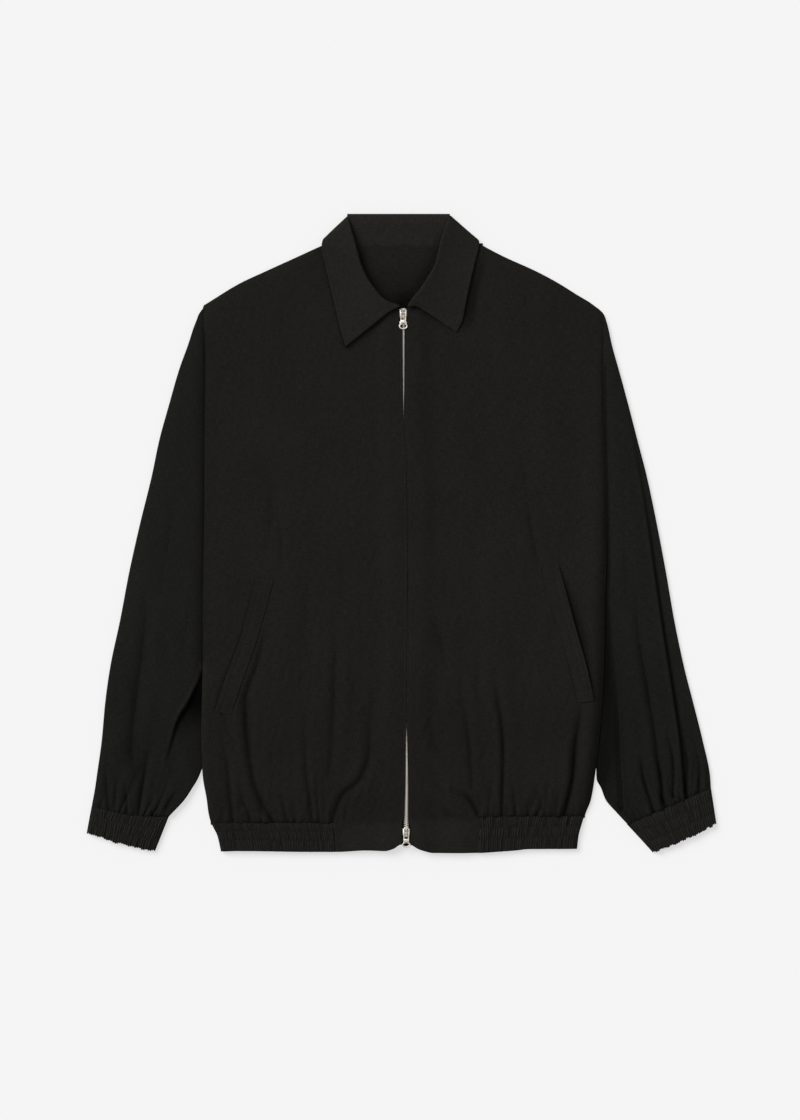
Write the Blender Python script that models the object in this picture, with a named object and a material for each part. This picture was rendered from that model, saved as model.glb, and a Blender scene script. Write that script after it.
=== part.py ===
"""A zip-up blouson jacket with a shirt collar, laid flat, front up, on a level surface.

Frame: +Z up from the surface, +Y towards the collar, +X towards the wearer's left. The origin is on
the surface, below the zip, half way up the jacket. "Right" and "left" are the wearer's own.
The tables are in millimetres and MM turns them into Blender's metres.
"""
import math

import bmesh
import bpy
import numpy as np

MM = 0.001

# Driving sizes
GAP = 0.3             # between pieces at a seam
CUFF_SEAM = 0.9       # between a sleeve and its cuff, measured down the jacket
ARMHOLE_SEAM = 0.5    # between a sleeve and the body
BAND_SEAM = 0.8       # between the band and the body, and the plain hem beside its ends
CLOTH = 1.2           # wall of a single panel, with its seam allowances pressed flat
COLLAR = 1.6          # wall of the two-ply collar
BAND = 2.0            # wall of an elasticated band
FRONT_TOP = 5.4       # upper face of the fronts where they lie smooth
SEAM_TOP = 2.7        # upper face of the fronts along the shoulders and side seams
SLEEVE_TOP = 6.4      # upper face of a sleeve along its middle
SLEEVE_EDGE = 3.5     # upper face of a sleeve along its two folds
BAND_TOP = 6.3        # upper face of the hem band in front
NECK_SEAM_Y = 343.2   # seam between the back and the collar stand
STAND_TOP_Y = 379.5
STAND_ENDS = (-60, 44.5)
STAND_CORNERS = 6.0   # how far the neck seam turns up at the stand's ends
STAND_RISE = 1.3      # how far the stand leans up towards the roll line
SHOULDER_Y = {"right": 268, "left": 258}    # the corners, where the sleeves begin
SIDE_TOP_Y = 255      # the straight side of the body ends just below them
ARMHOLE_END_Y = 10
ZIP_RISE = 2.2        # how far the fronts stand up over the zip,
ZIP_RISE_FLAT = 15    # at full height this far from it,
ZIP_RISE_OVER = 22    # and falling away over this distance
NECK_FADE_Y = 285     # the same rise dies out above this height,
NECK_FADE = 25        # over this distance
GATHER_RISE = 3.0     # how far the fronts bulge above the elastic band,
GATHER_Y = -312       # and where
GATHER_REACH = 30
BODY_FOLD = 18        # how far a sleeve takes to rise beside the body, and at its outer fold
OUTER_FOLD = 10
BAND_NEAR_FOLD = 4.2  # the band's height just inside the side folds, and on them
BAND_FOLD = 2.6

# Zip, with a chain of 5.8 mm and two sliders
CHAIN_WIDTH = 5.8
CHAIN_THICK = 2.2
ZIP_Z = 5.0           # middle plane of the chain
TAPE_WIDTH = 12.0
TAPE = 1.0
SLIDER_WIDTH = 9.0
SLIDER_TAIL = 7.4
SLIDER_LENGTH = 12.0
PLATE = 1.0           # wall of a slider's plates
SLIDER_TOP = ZIP_Z + CHAIN_THICK / 2 + GAP + PLATE
FLANGE = 1.3          # wall of the flanges at a slider's sides
WEDGE_LENGTH = 4.5
TOP_SLIDER_Y = 263.0
BOTTOM_SLIDER_Y = -360.5
BRIDGE_WIDTH = 2.4
BRIDGE_LENGTH = 8.4
BRIDGE_LEG = 1.3
EYE_HEIGHT = 2.1      # inside the bridge, where the pull's pin turns
PIN = 1.4
PIN_CLEAR = 0.35      # between the pin and the slider's plate
PULL_THICK = 1.2
ARM_OUT = 3.6         # half widths of the pull's arms, outside and inside
ARM_IN = 1.8
WINDOW_END = -10.5    # from the pin towards the ring
NECK_END = -15.5
RING_CENTRE = 18.5    # from the pin to the middle of the ring
RING_SIZE = (11.0, 9.6)
RING_HOLE = (7.2, 4.6)


def table(columns, *rows):
    """A short table as named columns, sorted by the first one."""
    rows = np.array(sorted(rows), float)
    return dict(zip(columns.split(), rows.T))


# The outline of the body: its side seams, and above them the shoulder seams.
BODY = table(
    "y right left",
    (357, -66, 70), (345, -93, 92), (332, -122, 117), (312, -166, 161), (298, -196, 187),
    (283, -221, 211), (276, -232, 223), (272, -238.8, 228.5), (268, -240.1, 234),
    (264, -240.2, 238.5), (260, -240.3, 241.6), (257, -240, 242), (203, -238, 241),
    (114, -239, 242), (-22, -239, 244), (-89, -240, 242), (-154, -240, 241), (-202, -241, 239),
    (-250, -242, 235), (-292, -240, 230), (-322, -235, 225), (-338, -233, 219),
    (-350, -230, 215), (-365, -223, 211), (-382, -219, 209),
)
# Along the hem: the seam between the body and the elastic band, the lower edge in front, which is
# plain in the middle and rounded off on both sides of the zip, and the lower edge of the back.
HEM = table(
    "x seam edge back",
    (-232, -349, -384, -384), (-195, -349, -383, -382.6), (-110, -349, -384, -380),
    (-79, -349, -384, -378.4), (-45, -348.4, -382.2, -376), (-22, -348, -382.8, -374.6),
    (-12, -347, -380.2, -374), (-2, -346, -374.6, -373.4), (9, -345, -375, -373),
    (18, -344, -380, -373.2), (27, -343.5, -383.2, -373.6), (36, -343, -385.2, -374),
    (72, -342, -385.4, -375.6), (93, -341, -385.2, -377), (112, -341, -384, -378.2),
    (134, -341, -382.4, -379.2), (152, -341, -380.6, -380), (218, -341, -380.4, -380.4),
)
# The free edges of the fronts round the neck.
NECKLINE = table(
    "y right left",
    (360, -63, 52), (345, -59, 47), (322, -53, 42), (303, -43, 31), (291, -36, 24),
    (279, -23, 12), (271, -8, 6),
)
# The line of the zip, and how far each front's edge stands back from it.
ZIP = table(
    "y x gap",
    (300, 0.3, 5.0), (253, 0.3, 5.0), (246, 0.5, 1.3), (224, 0.6, 1.1), (133, 0.7, 0.2),
    (100, 2.6, 0.2), (55, 4.5, 0.2), (-42, 5.3, 0.2), (-232, 4.2, 0.2), (-301, 4.4, 1.0),
    (-346, 3.9, 2.2), (-352, 3.9, 5.0), (-382, 3.9, 5.6),
)
# The outer folds of the sleeves, from the shoulder corners down.
SLEEVE_OUTER = table(
    "y right left",
    (268, -241.6, 242.4), (262, -245.4, 242.4), (254, -248.8, 244.8), (246, -252.3, 247.2),
    (226, -259, 252), (197, -269, 260), (154, -281, 271),
    (110, -293, 282), (67, -302, 293), (10, -316, 305), (-48, -329, 316), (-106, -340, 326),
    (-163, -352, 338), (-206, -358, 349), (-250, -362, 360), (-293, -368, 369),
    (-307, -370, 370), (-329, -374, 371),
)
# The inner folds of the sleeves, where they leave the body above the cuffs.
SLEEVE_INNER = table(
    "y right left",
    (-284, -241.5, 232.5), (-297, -247, 233), (-307, -253, 238), (-322, -263, 244),
    (-336, -276, 256), (-350, -290, 269),
)
# The corners of the flattened cuffs, how far their upper edge sags between them, and how far their
# lower edge swells.
CUFFS = {
    "right": {"top": ((-281, -341), (-374, -329)), "end": ((-298, -383.5), (-380, -361)),
              "sag": 4.5, "swell": 1.6},
    "left": {"top": ((269, -351), (370, -307.5)), "end": ((300, -384.5), (376.5, -349.5)),
             "sag": 0.0, "swell": 2.4},
}
# The collar from its right point round the back of the neck to its left point: the roll line, the
# outer edge, and the heights of the two.
COLLAR_SECTIONS = table(
    "order roll_x roll_y edge_x edge_y roll_z edge_z",
    (0, -4.0, 271.5, -68.5, 223.5, 10.6, 6.8),
    (1, -19.6, 277.4, -73.5, 240, 10.6, 6.7),
    (2, -33.2, 291.2, -78, 258, 10.6, 6.7),
    (3, -43, 306, -82.5, 277, 10.6, 6.7),
    (4, -50.2, 321.8, -87, 296, 10.3, 6.7),
    (5, -56.4, 344.9, -92.5, 320, 10.0, 6.7),
    (6, -60.8, 360, -97, 340, 9.3, 6.4),
    (7, -64.5, 373, -96.5, 348, 7.5, 5.5),
    (8, -66.2, 379, -94, 352.5, 4.6, 3.4),
    (9, -62, 381, -88, 345, 1.7, 1.1),
    (10, -40, 381.5, -55, 334, 1.5, 0.8),
    (11, -5.5, 382, -3, 331, 1.5, 0.8),
    (12, 33, 382, 46, 335, 1.5, 0.8),
    (13, 52, 381.5, 82, 345, 1.7, 1.1),
    (14, 56, 380, 89, 351, 4.6, 3.4),
    (15, 53.5, 374, 92, 346, 7.5, 5.5),
    (16, 48.6, 360, 90, 340, 9.3, 6.4),
    (17, 44, 344.9, 84.6, 319, 10.0, 6.7),
    (18, 38.6, 321.8, 80, 299, 10.3, 6.7),
    (19, 29.5, 305, 76.8, 285, 10.6, 6.7),
    (20, 20.3, 291.2, 73.5, 268, 10.6, 6.7),
    (21, 11, 279.5, 70.5, 253.5, 10.6, 6.7),
    (22, 6.2, 271.5, 64, 240.5, 10.6, 6.8),
)
# The pocket welts: the edge that opens, the seam beside it, both from the top down.
WELTS = {
    "right": table(
        "y open seam",
        (-56, -176, -156), (-83, -183, -163), (-128, -195, -176), (-173, -212, -192),
        (-216, -226, -206),
    ),
    "left": table(
        "y open seam",
        (-42, 187, 167), (-71, 195, 173), (-112, 206, 186), (-162, 220, 201), (-202, 229, 210),
    ),
}
# The largest folds. Each sinks along a route of up to six points and is pushed up beside it:
# depth at its start, middle and end, half width, and the side (1 or -1, across +X) of its ridge.
FOLDS = {
    "front_right": (
        {"depth": (0, 1.8, 3.0), "width": 7, "ridge": 1,
         "route": ((-224, -236), (-212, -274), (-209, -308), (-205, -346))},
        {"depth": (0, 3.2, 3.0), "width": 9, "ridge": 1,
         "route": ((-166, -122), (-180, -180), (-190, -236), (-185, -280), (-176, -316), (-158, -346))},
        {"depth": (0, 1.8, 2.6), "width": 7, "ridge": -1,
         "route": ((-118, -221), (-118, -271), (-114, -310), (-109, -348))},
        {"depth": (0, 1.2, 1.0), "width": 12, "ridge": 1,
         "route": ((-83, -82), (-84, -214), (-90, -282))},
        {"depth": (0, 2.0, 2.4), "width": 9, "ridge": -1,
         "route": ((-29, -180), (-42, -222), (-42, -269), (-54, -298), (-74, -316), (-84, -346))},
    ),
    "front_left": (
        {"depth": (0, 1.4, 1.0), "width": 9, "ridge": 1,
         "route": ((68, -180), (79, -258), (80, -301))},
        {"depth": (0, 2.8, 2.8), "width": 7, "ridge": -1,
         "route": ((108, -179), (116, -210), (120, -256), (118, -338))},
        {"depth": (0, 3.0, 3.0), "width": 9, "ridge": -1,
         "route": ((213, -215), (206, -258), (203, -295), (193, -340))},
    ),
    "sleeve_right": (
        {"depth": (0, 2.2, 2.8), "width": 7, "ridge": 1,
         "route": ((-308, -262), (-313, -302), (-318, -334))},
        {"depth": (0, 1.4, 2.4), "width": 7, "ridge": -1,
         "route": ((-357, -270), (-356, -306), (-354, -330))},
        {"depth": (0, 1.2, 0.8), "width": 12, "ridge": 1,
         "route": ((-312, -83), (-312, -131), (-324, -212))},
    ),
    "sleeve_left": (
        {"depth": (0, 2.0, 2.6), "width": 7, "ridge": -1,
         "route": ((278, -65), (280, -122), (292, -184), (303, -253), (314, -334))},
        {"depth": (0, 1.6, 2.2), "width": 7, "ridge": -1,
         "route": ((281, -262), (290, -310), (304, -338))},
        {"depth": (0, 1.4, 1.6), "width": 6, "ridge": 1,
         "route": ((343, -239), (349, -288), (347, -313))},
    ),
}
# Where one layer of a sleeve lies over the next: the drop to the lower layer along the route, and
# the side (1 or -1, across +X) that lies lower.
OVERLAPS = {
    "sleeve_right": (
        {"drop": (0.6, 2.6, 1.6), "low": 1,
         "route": ((-241, -168), (-264, -211), (-278, -250), (-284, -280))},
    ),
    "sleeve_left": (
        {"drop": (0, 2.4, 2.2), "low": 1,
         "route": ((268, 157), (290, 38), (311, -107), (332, -244), (338, -318))},
        {"drop": (0, 2.0, 1.8), "low": -1,
         "route": ((250, -130), (257, -202), (259, -274), (262, -331))},
    ),
}
OVERLAP_WIDTH = 4.0
OVERLAP_REACH = 60.0

# Mesh steps: rows from the hem up, and shares of a front's width from its side to the zip.
FRONT_ROWS = (-329, -312, -294, -276, -256, -234, -210, -180, -145, -100, -45, 20, 95, 170, 225,
              252, 262, 272, 283, 297, 312, 330, 344, 356)
HEM_ROWS = 4
FRONT_COLUMNS = 22
PLAIN_FROM = {"right": 14, "left": 13}      # the column at which the band gives way to plain hem,
JOIN_X = {"right": -80, "left": 92}         # and about where that is
BACK_ROWS = (-330, -292, -250, -202, -120, 20, 170, 255, 272, 283, 297, 312, 322, 332)
BACK_COLUMNS = 14
SLEEVE_STEPS = (0, .02, .08, .17, .27, .37, .46, .55, .63, .7, .76, .82, .87, .91, .95, .98, 1)
SLEEVE_COLUMNS = 13
CUFF_COLUMNS = 19
CUFF_RUCHES = 9
FRONT_RUCHES = {"right": 23, "left": 20}
BACK_RUCHES = 60
FOLD_SHARE = 0.985    # where the band's front begins to turn down to the side fold
WELT_SLANT = 3.0      # how far a welt's seam edge stands below its open edge


def smooth(at, knots, values):
    """Values on a smooth curve through a table's rows that never overshoots them."""
    step = np.diff(knots)
    rise = np.diff(values) / step
    slope = np.zeros(len(knots))
    same = rise[:-1] * rise[1:] > 0
    slope[1:-1][same] = (2 * rise[:-1] * rise[1:])[same] / (rise[:-1] + rise[1:])[same]
    slope[0] = rise[0]
    slope[-1] = rise[-1]
    at = np.clip(np.asarray(at, float), knots[0], knots[-1])
    i = np.clip(np.searchsorted(knots, at) - 1, 0, len(step) - 1)
    t = (at - knots[i]) / step[i]
    ends = values[i] * (1 + 2 * t) * (1 - t) ** 2 + values[i + 1] * t * t * (3 - 2 * t)
    return ends + step[i] * (slope[i] * t * (1 - t) ** 2 - slope[i + 1] * t * t * (1 - t))


def read(rows, column, at):
    """One column of a table at the places `at` of its first column."""
    return smooth(at, next(iter(rows.values())), rows[column])


def ease(t):
    """A soft step from 0 to 1."""
    t = np.clip(t, 0, 1)
    return t * t * (3 - 2 * t)


def beside(x, y, route):
    """Each point's distance from a route, positive towards +X of a route that runs down, and how
    far along the route it lies, from 0 to 1."""
    best = np.full(x.shape, 1e9)
    signed = np.zeros(x.shape)
    along = np.zeros(x.shape)
    spans = len(route) - 1
    for k in range(spans):
        (ax, ay), (bx, by) = route[k], route[k + 1]
        dx, dy = bx - ax, by - ay
        t = np.clip(((x - ax) * dx + (y - ay) * dy) / (dx * dx + dy * dy), 0, 1)
        away = np.hypot(x - ax - t * dx, y - ay - t * dy)
        side = np.where(dx * (y - ay) - dy * (x - ax) >= 0, 1, -1)
        near = away < best
        best = np.where(near, away, best)
        signed = np.where(near, away * side, signed)
        along = np.where(near, (k + t) / spans, along)
    return signed, along


def relief(x, y, piece):
    """How far the folds and overlaps of a piece lift or sink its cloth."""
    z = np.zeros(x.shape)
    for fold in FOLDS.get(piece, ()):
        away, along = beside(x, y, fold["route"])
        depth = np.interp(along, (0, 0.5, 1), fold["depth"])
        ridge = fold["ridge"] * 1.6 * fold["width"]
        z -= depth * np.exp(-(away / fold["width"]) ** 2)
        z += 0.7 * depth * np.exp(-((away - ridge) / (1.3 * fold["width"])) ** 2)
    for lap in OVERLAPS.get(piece, ()):
        away, along = beside(x, y, lap["route"])
        away = away * lap["low"]
        drop = np.interp(along, (0, 0.5, 1), lap["drop"])
        fade = np.exp(-(np.maximum(away, 0) / OVERLAP_REACH) ** 2)
        z -= drop * fade * (1 + np.tanh(away / OVERLAP_WIDTH)) / 2
    return z


def neck_lift(x, y):
    """How far the body lies above the surface over the part of the collar that is folded under."""
    return 1.9 * ease((y - 292) / 26) * ease((128 - abs(x + 2)) / 26)


def from_seams(x, y, side):
    """Distances from a front's side seam and its shoulder seam."""
    shoulder = BODY["y"] > SIDE_TOP_Y + 3
    order = np.argsort(BODY[side][shoulder])
    line = smooth(x, BODY[side][shoulder][order], BODY["y"][shoulder][order])
    return abs(x - read(BODY, side, np.minimum(y, SIDE_TOP_Y))), np.maximum(line - y, 0) * 0.9


def front_top(x, y, side):
    """Upper face of a front."""
    from_zip = abs(x - read(ZIP, "x", y))
    near_zip = 1 - ease((from_zip - ZIP_RISE_FLAT) / ZIP_RISE_OVER)
    z = FRONT_TOP + ZIP_RISE * near_zip * (1 - ease((y - NECK_FADE_Y) / NECK_FADE))
    z += GATHER_RISE * np.exp(-((y - GATHER_Y) / GATHER_REACH) ** 2) * ease(from_zip / 60)
    z += relief(x, y, "front_" + side)
    at_side, at_shoulder = from_seams(x, y, side)
    seam = SEAM_TOP + neck_lift(x, y)
    rise = (1 - np.exp(-at_side / 6)) * (1 - np.exp(-at_shoulder / 8))
    return seam + np.maximum(z - seam, 0) * rise


def material(name, colour, roughness, metallic=0.0):
    """A plain material, made once."""
    made = bpy.data.materials.get(name)
    if made is None:
        made = bpy.data.materials.new(name)
        made.use_nodes = True
        shader = made.node_tree.nodes["Principled BSDF"]
        shader.inputs["Base Color"].default_value = (*colour, 1)
        shader.inputs["Roughness"].default_value = roughness
        shader.inputs["Metallic"].default_value = metallic
    return made


def cloth():
    return material("black_plain_weave", (0.014, 0.0135, 0.012), 0.85)


def band_cloth():
    return material("ruched_plain_weave", (0.012, 0.012, 0.011), 0.88)


def tape_cloth():
    return material("zip_tape_weave", (0.012, 0.012, 0.012), 0.8)


def nickel():
    return material("zip_nickel", (0.62, 0.58, 0.52), 0.3, 1.0)


def finish(name, mesh, finish_material, smooth_angle=60):
    """Puts a mesh in the scene with its faces pointing out."""
    shape = bmesh.new()
    shape.from_mesh(mesh)
    loose = [v for v in shape.verts if not v.link_faces]
    bmesh.ops.delete(shape, geom=loose, context="VERTS")
    bmesh.ops.recalc_face_normals(shape, faces=shape.faces)
    shape.to_mesh(mesh)
    shape.free()
    mesh.shade_smooth()
    mesh.set_sharp_from_angle(angle=math.radians(smooth_angle))
    mesh.materials.append(finish_material)
    made = bpy.data.objects.new(name, mesh)
    bpy.context.scene.collection.objects.link(made)
    return made


def wall(name, outer, inner, finish_material, ring=False, keep=None):
    """A closed wall between two grids of points (rows, columns, 3). In a ring the last column joins
    the first. Cells that `keep` marks false are left out."""
    rows, columns = outer.shape[:2]
    spans = columns if ring else columns - 1
    if keep is None:
        keep = np.ones((rows - 1, spans), bool)

    def vertex(layer, i, j):
        return (layer * rows + i) * columns + j % columns

    faces = []
    for i, j in zip(*np.nonzero(keep)):
        corners = ((i, j), (i, j + 1), (i + 1, j + 1), (i + 1, j))
        next_cells = ((i - 1, j), (i, j + 1), (i + 1, j), (i, j - 1))
        faces.append([vertex(0, *c) for c in corners])
        faces.append([vertex(1, *c) for c in reversed(corners)])
        for k, (ni, nj) in enumerate(next_cells):
            nj = nj % spans if ring else nj
            if 0 <= ni < rows - 1 and 0 <= nj < spans and keep[ni, nj]:
                continue
            a, b = corners[k], corners[(k + 1) % 4]
            faces.append([vertex(0, *b), vertex(0, *a), vertex(1, *a), vertex(1, *b)])
    points = np.concatenate([outer.reshape(-1, 3), inner.reshape(-1, 3)]) * MM
    mesh = bpy.data.meshes.new(name)
    mesh.from_pydata(points.tolist(), [], faces)
    return finish(name, mesh, finish_material)


def both_faces(middle, thickness, ring=False):
    """The two faces of a wall whose middle is a grid of points."""
    along = np.gradient(middle, axis=0)
    if ring:
        across = (np.roll(middle, -1, axis=1) - np.roll(middle, 1, axis=1)) / 2
    else:
        across = np.gradient(middle, axis=1)
    normal = np.cross(across, along)
    normal /= np.linalg.norm(normal, axis=2, keepdims=True)
    return middle + normal * thickness / 2, middle - normal * thickness / 2


def grid(x, y, z):
    return np.stack(np.broadcast_arrays(x, y, z), axis=2)


def sign_of(side):
    return -1 if side == "right" else 1


def band_join(side, y):
    """Where the elastic band ends and the plain hem of a front begins."""
    outer_x = read(BODY, side, y)
    inner_x = read(ZIP, "x", y) + sign_of(side) * read(ZIP, "gap", y)
    return outer_x + (inner_x - outer_x) * PLAIN_FROM[side] / FRONT_COLUMNS


def front(side):
    """A front, from its hem to the shoulder, with the plain hem that runs on below the band seam."""
    share = np.linspace(0, 1, FRONT_COLUMNS + 1)
    hem = np.linspace(0, 1, HEM_ROWS + 1)
    seam_y, edge_y = read(HEM, "seam", JOIN_X[side]), read(HEM, "edge", JOIN_X[side])
    rows = np.concatenate([edge_y + (seam_y - edge_y) * hem, FRONT_ROWS])
    outer_x = read(BODY, side, rows)
    inner_x = read(ZIP, "x", rows) + sign_of(side) * read(ZIP, "gap", rows)
    neck = rows > NECKLINE["y"][0]
    inner_x[neck] = read(NECKLINE, side, rows[neck])
    x = outer_x[:, None] + (inner_x - outer_x)[:, None] * share
    y = np.repeat(rows[:, None], share.size, axis=1)
    seam = read(HEM, "seam", x[: hem.size]) + BAND_SEAM
    edge = read(HEM, "edge", x[: hem.size])
    y[: hem.size] = edge + (seam - edge) * hem[:, None]
    keep = np.ones((rows.size - 1, FRONT_COLUMNS), bool)
    keep[:HEM_ROWS, : PLAIN_FROM[side]] = False
    top = grid(x, y, front_top(x, y, side))
    return wall("front_" + side, top, top - (0, 0, CLOTH), cloth(), keep=keep)


def back():
    """The back, flat on the surface, lifted a little over the collar that is folded under it."""
    rows = np.array((HEM["seam"].min(),) + BACK_ROWS + (NECK_SEAM_Y - GAP,), float)
    share = np.linspace(0, 1, BACK_COLUMNS + 1)
    right = read(BODY, "right", rows)[:, None]
    left = read(BODY, "left", rows)[:, None]
    x = right + (left - right) * share
    y = np.repeat(rows[:, None], share.size, axis=1)
    y[0] = read(HEM, "seam", x[0]) + BAND_SEAM
    under = grid(x, y, neck_lift(x, y))
    return wall("back", under + (0, 0, CLOTH), under, cloth())


def tube(inner, outer, top, low, thickness, columns):
    """The two faces of a flattened tube. `inner` and `outer` are its folds (rows, 2), `top` gives
    the height of its upper middle, and `low` is that of its lower middle, which lies flat."""
    fold = (top(inner[:, None])[:, 0] - low) / 2
    width = np.linalg.norm(outer - inner, axis=1)
    turn = (fold / np.maximum(width, 1))[:, None]
    share = turn + (1 - 2 * turn) * np.linspace(0, 1, columns)
    upper = inner[:, None] + (outer - inner)[:, None] * share[..., None]
    lower = upper[:, ::-1]
    fold_z = (low + fold)[:, None, None]
    rings = (
        np.concatenate([inner[:, None], fold_z], axis=2),
        np.concatenate([upper, top(upper)[..., None]], axis=2),
        np.concatenate([outer[:, None], fold_z], axis=2),
        np.concatenate([lower, np.full(lower.shape[:2] + (1,), low)], axis=2),
    )
    return both_faces(np.concatenate(rings, axis=1), thickness, ring=True)


def sleeve(side):
    """A sleeve as a flattened tube: its first ring is the armhole and its last one meets the cuff."""
    piece = "sleeve_" + side
    sign = sign_of(side)
    step = np.array(SLEEVE_STEPS)
    cuff_in, cuff_out = CUFFS[side]["top"]
    outer_y = SHOULDER_Y[side] + (cuff_out[1] + CUFF_SEAM - SHOULDER_Y[side]) * step
    inner_y = ARMHOLE_END_Y + (cuff_in[1] + CUFF_SEAM - ARMHOLE_END_Y) * step
    inner_x = read(BODY, side, inner_y) + sign * (ARMHOLE_SEAM + CLOTH / 2)
    below = inner_y < SLEEVE_INNER["y"][-1]
    inner_x[below] = read(SLEEVE_INNER, side, inner_y[below])
    outer_x = read(SLEEVE_OUTER, side, outer_y) - sign * CLOTH / 2
    outer_x[0] = read(BODY, side, SIDE_TOP_Y) + sign * (ARMHOLE_SEAM + CLOTH / 2)

    def top(points):
        x, y = points[..., 0], points[..., 1]
        from_body = abs(x - read(BODY, side, np.minimum(y, SIDE_TOP_Y)))
        near_body = 1 - np.exp(-from_body / BODY_FOLD)
        near_fold = 1 - np.exp(-abs(x - read(SLEEVE_OUTER, side, y)) / OUTER_FOLD)
        crown = np.maximum(SLEEVE_TOP - SLEEVE_EDGE + relief(x, y, piece), 0)
        return SLEEVE_EDGE - CLOTH / 2 + crown * near_body * near_fold

    inner = np.stack([inner_x, inner_y], axis=1)
    outer = np.stack([outer_x, outer_y], axis=1)
    faces = tube(inner, outer, top, CLOTH / 2, CLOTH, SLEEVE_COLUMNS)
    return wall(piece, *faces, cloth(), ring=True)


def cuff(side):
    """An elasticated cuff as a flattened, ruched tube that is open at both ends."""
    corners = CUFFS[side]
    rows = np.linspace(0, 1, 3)[:, None]
    top_in, top_out = np.array(corners["top"], float)
    end_in, end_out = np.array(corners["end"], float)
    inner = top_in + (end_in - top_in) * rows
    outer = top_out + (end_out - top_out) * rows
    width = np.linalg.norm(top_out - top_in)

    def top(points):
        across = np.linalg.norm(points - inner[:, None], axis=2) / width
        ruche = 0.5 * np.cos(2 * math.pi * CUFF_RUCHES * across)
        return 2.9 + (2.4 + ruche) * np.sin(math.pi * np.clip(across, 0, 1)) ** 0.5

    faces = tube(inner, outer, top, BAND / 2, BAND, CUFF_COLUMNS)
    arch = np.sin(math.pi * np.linspace(0, 1, CUFF_COLUMNS))
    for face in faces:
        for row, drop in ((0, corners["sag"]), (-1, corners["swell"])):
            face[row, 1 : CUFF_COLUMNS + 1, 1] -= drop * arch
            face[row, CUFF_COLUMNS + 2 :, 1] -= drop * arch
    return wall("cuff_" + side, *faces, band_cloth(), ring=True)


def hem_band():
    """The elasticated band, from its join on the right front round the back to the left front."""
    down = np.linspace(0, 1, 3)

    def section(x, z, edge_column="edge"):
        """A section across the band, from its seam to its lower edge."""
        seam, edge = read(HEM, "seam", x[0]), read(HEM, edge_column, x[-1])
        return np.stack([x, seam + (edge - seam) * down, np.full(3, z)], axis=1)

    def body_edge(side):
        seam = read(HEM, "seam", BODY[side][1])
        edge = read(HEM, "edge", BODY[side][0])
        return read(BODY, side, seam + (edge - seam) * down)

    def front_part(side):
        """From the join on a front out to the side fold."""
        fold = body_edge(side)
        seam = read(HEM, "seam", fold[0])
        rows = seam + (read(HEM, "edge", fold[-1]) - seam) * down
        join = band_join(side, rows) + sign_of(side) * BAND_SEAM
        count = FRONT_RUCHES[side]
        heights = [BAND_TOP - BAND / 2 + (0.5 if k % 2 else -0.5) for k in range(count)]
        shares = [k / (count + 0.5) for k in range(count)]
        heights += [BAND_NEAR_FOLD, BAND_FOLD]
        shares += [FOLD_SHARE, 1]
        return [section(join + (fold - join) * k, z) for k, z in zip(shares, heights)]

    right, left = body_edge("right"), body_edge("left")
    back_part = [
        section(right + (left - right) * share, BAND / 2 + 0.3 * (k % 2), "back")
        for k, share in enumerate(np.linspace(0.006, 0.994, BACK_RUCHES))
    ]
    sections = front_part("right") + back_part + front_part("left")[::-1]
    faces = both_faces(np.array(sections), BAND)
    return wall("hem_band", *faces, band_cloth())


def collar():
    """The collar's fall, from point to point: two leaves on the fronts and a back that is folded
    under the neck."""
    c = COLLAR_SECTIONS
    share = np.linspace(0, 1, 6)
    x = c["roll_x"][:, None] + (c["edge_x"] - c["roll_x"])[:, None] * share
    y = c["roll_y"][:, None] + (c["edge_y"] - c["roll_y"])[:, None] * share
    z = c["edge_z"][:, None] + (c["roll_z"] - c["edge_z"])[:, None] * (1 - share) ** 2
    faces = both_faces(grid(x, y, z), COLLAR)
    return wall("collar", *faces, cloth())


def collar_stand():
    """The stand inside the back neck, from the neck seam up to the roll line."""
    share = np.linspace(0, 1, 13)
    rise = np.linspace(0, 1, 4)[:, None]
    x = STAND_ENDS[0] + (STAND_ENDS[1] - STAND_ENDS[0]) * share
    seam = NECK_SEAM_Y + STAND_CORNERS * (2 * share - 1) ** 4
    y = seam + (STAND_TOP_Y - seam) * rise
    top = grid(x, y, neck_lift(0, STAND_TOP_Y) + CLOTH + STAND_RISE * rise**1.5)
    return wall("collar_stand", top, top - (0, 0, CLOTH), cloth())


def pocket_welt(side):
    """A slanted welt, made from the front's own points moved out."""
    welt = WELTS[side]
    share = np.linspace(0, 1, 4)
    rows = np.linspace(welt["y"][0], welt["y"][-1], 13)
    open_x = read(welt, "open", rows)[:, None]
    x = open_x + (read(welt, "seam", rows)[:, None] - open_x) * share
    y = rows[:, None] - WELT_SLANT * share
    under = grid(x, y, front_top(x, y, side) + GAP)
    return wall("pocket_welt_" + side, under + (0, 0, CLOTH), under, cloth())


def box(name, low, high, finish_material):
    """A block between two corners."""
    mesh = bpy.data.meshes.new(name)
    shape = bmesh.new()
    bmesh.ops.create_cube(shape, size=1)
    for v in shape.verts:
        v.co = [(low[k] + (high[k] - low[k]) * (v.co[k] + 0.5)) * MM for k in range(3)]
    shape.to_mesh(mesh)
    shape.free()
    return finish(name, mesh, finish_material, 30)


def zip_strip(name, near, far, thickness, finish_material):
    """A flat strip between the two sliders, between two distances from the zip's line."""
    top = TOP_SLIDER_Y - SLIDER_LENGTH / 2 - GAP
    end = BOTTOM_SLIDER_Y + SLIDER_LENGTH / 2 + GAP
    y = np.linspace(end, top, 15)[:, None]
    x = read(ZIP, "x", y) + np.array((near, far))
    middle = grid(x, y, ZIP_Z)
    rise = (0, 0, thickness / 2)
    return wall(name, middle + rise, middle - rise, finish_material)


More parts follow.
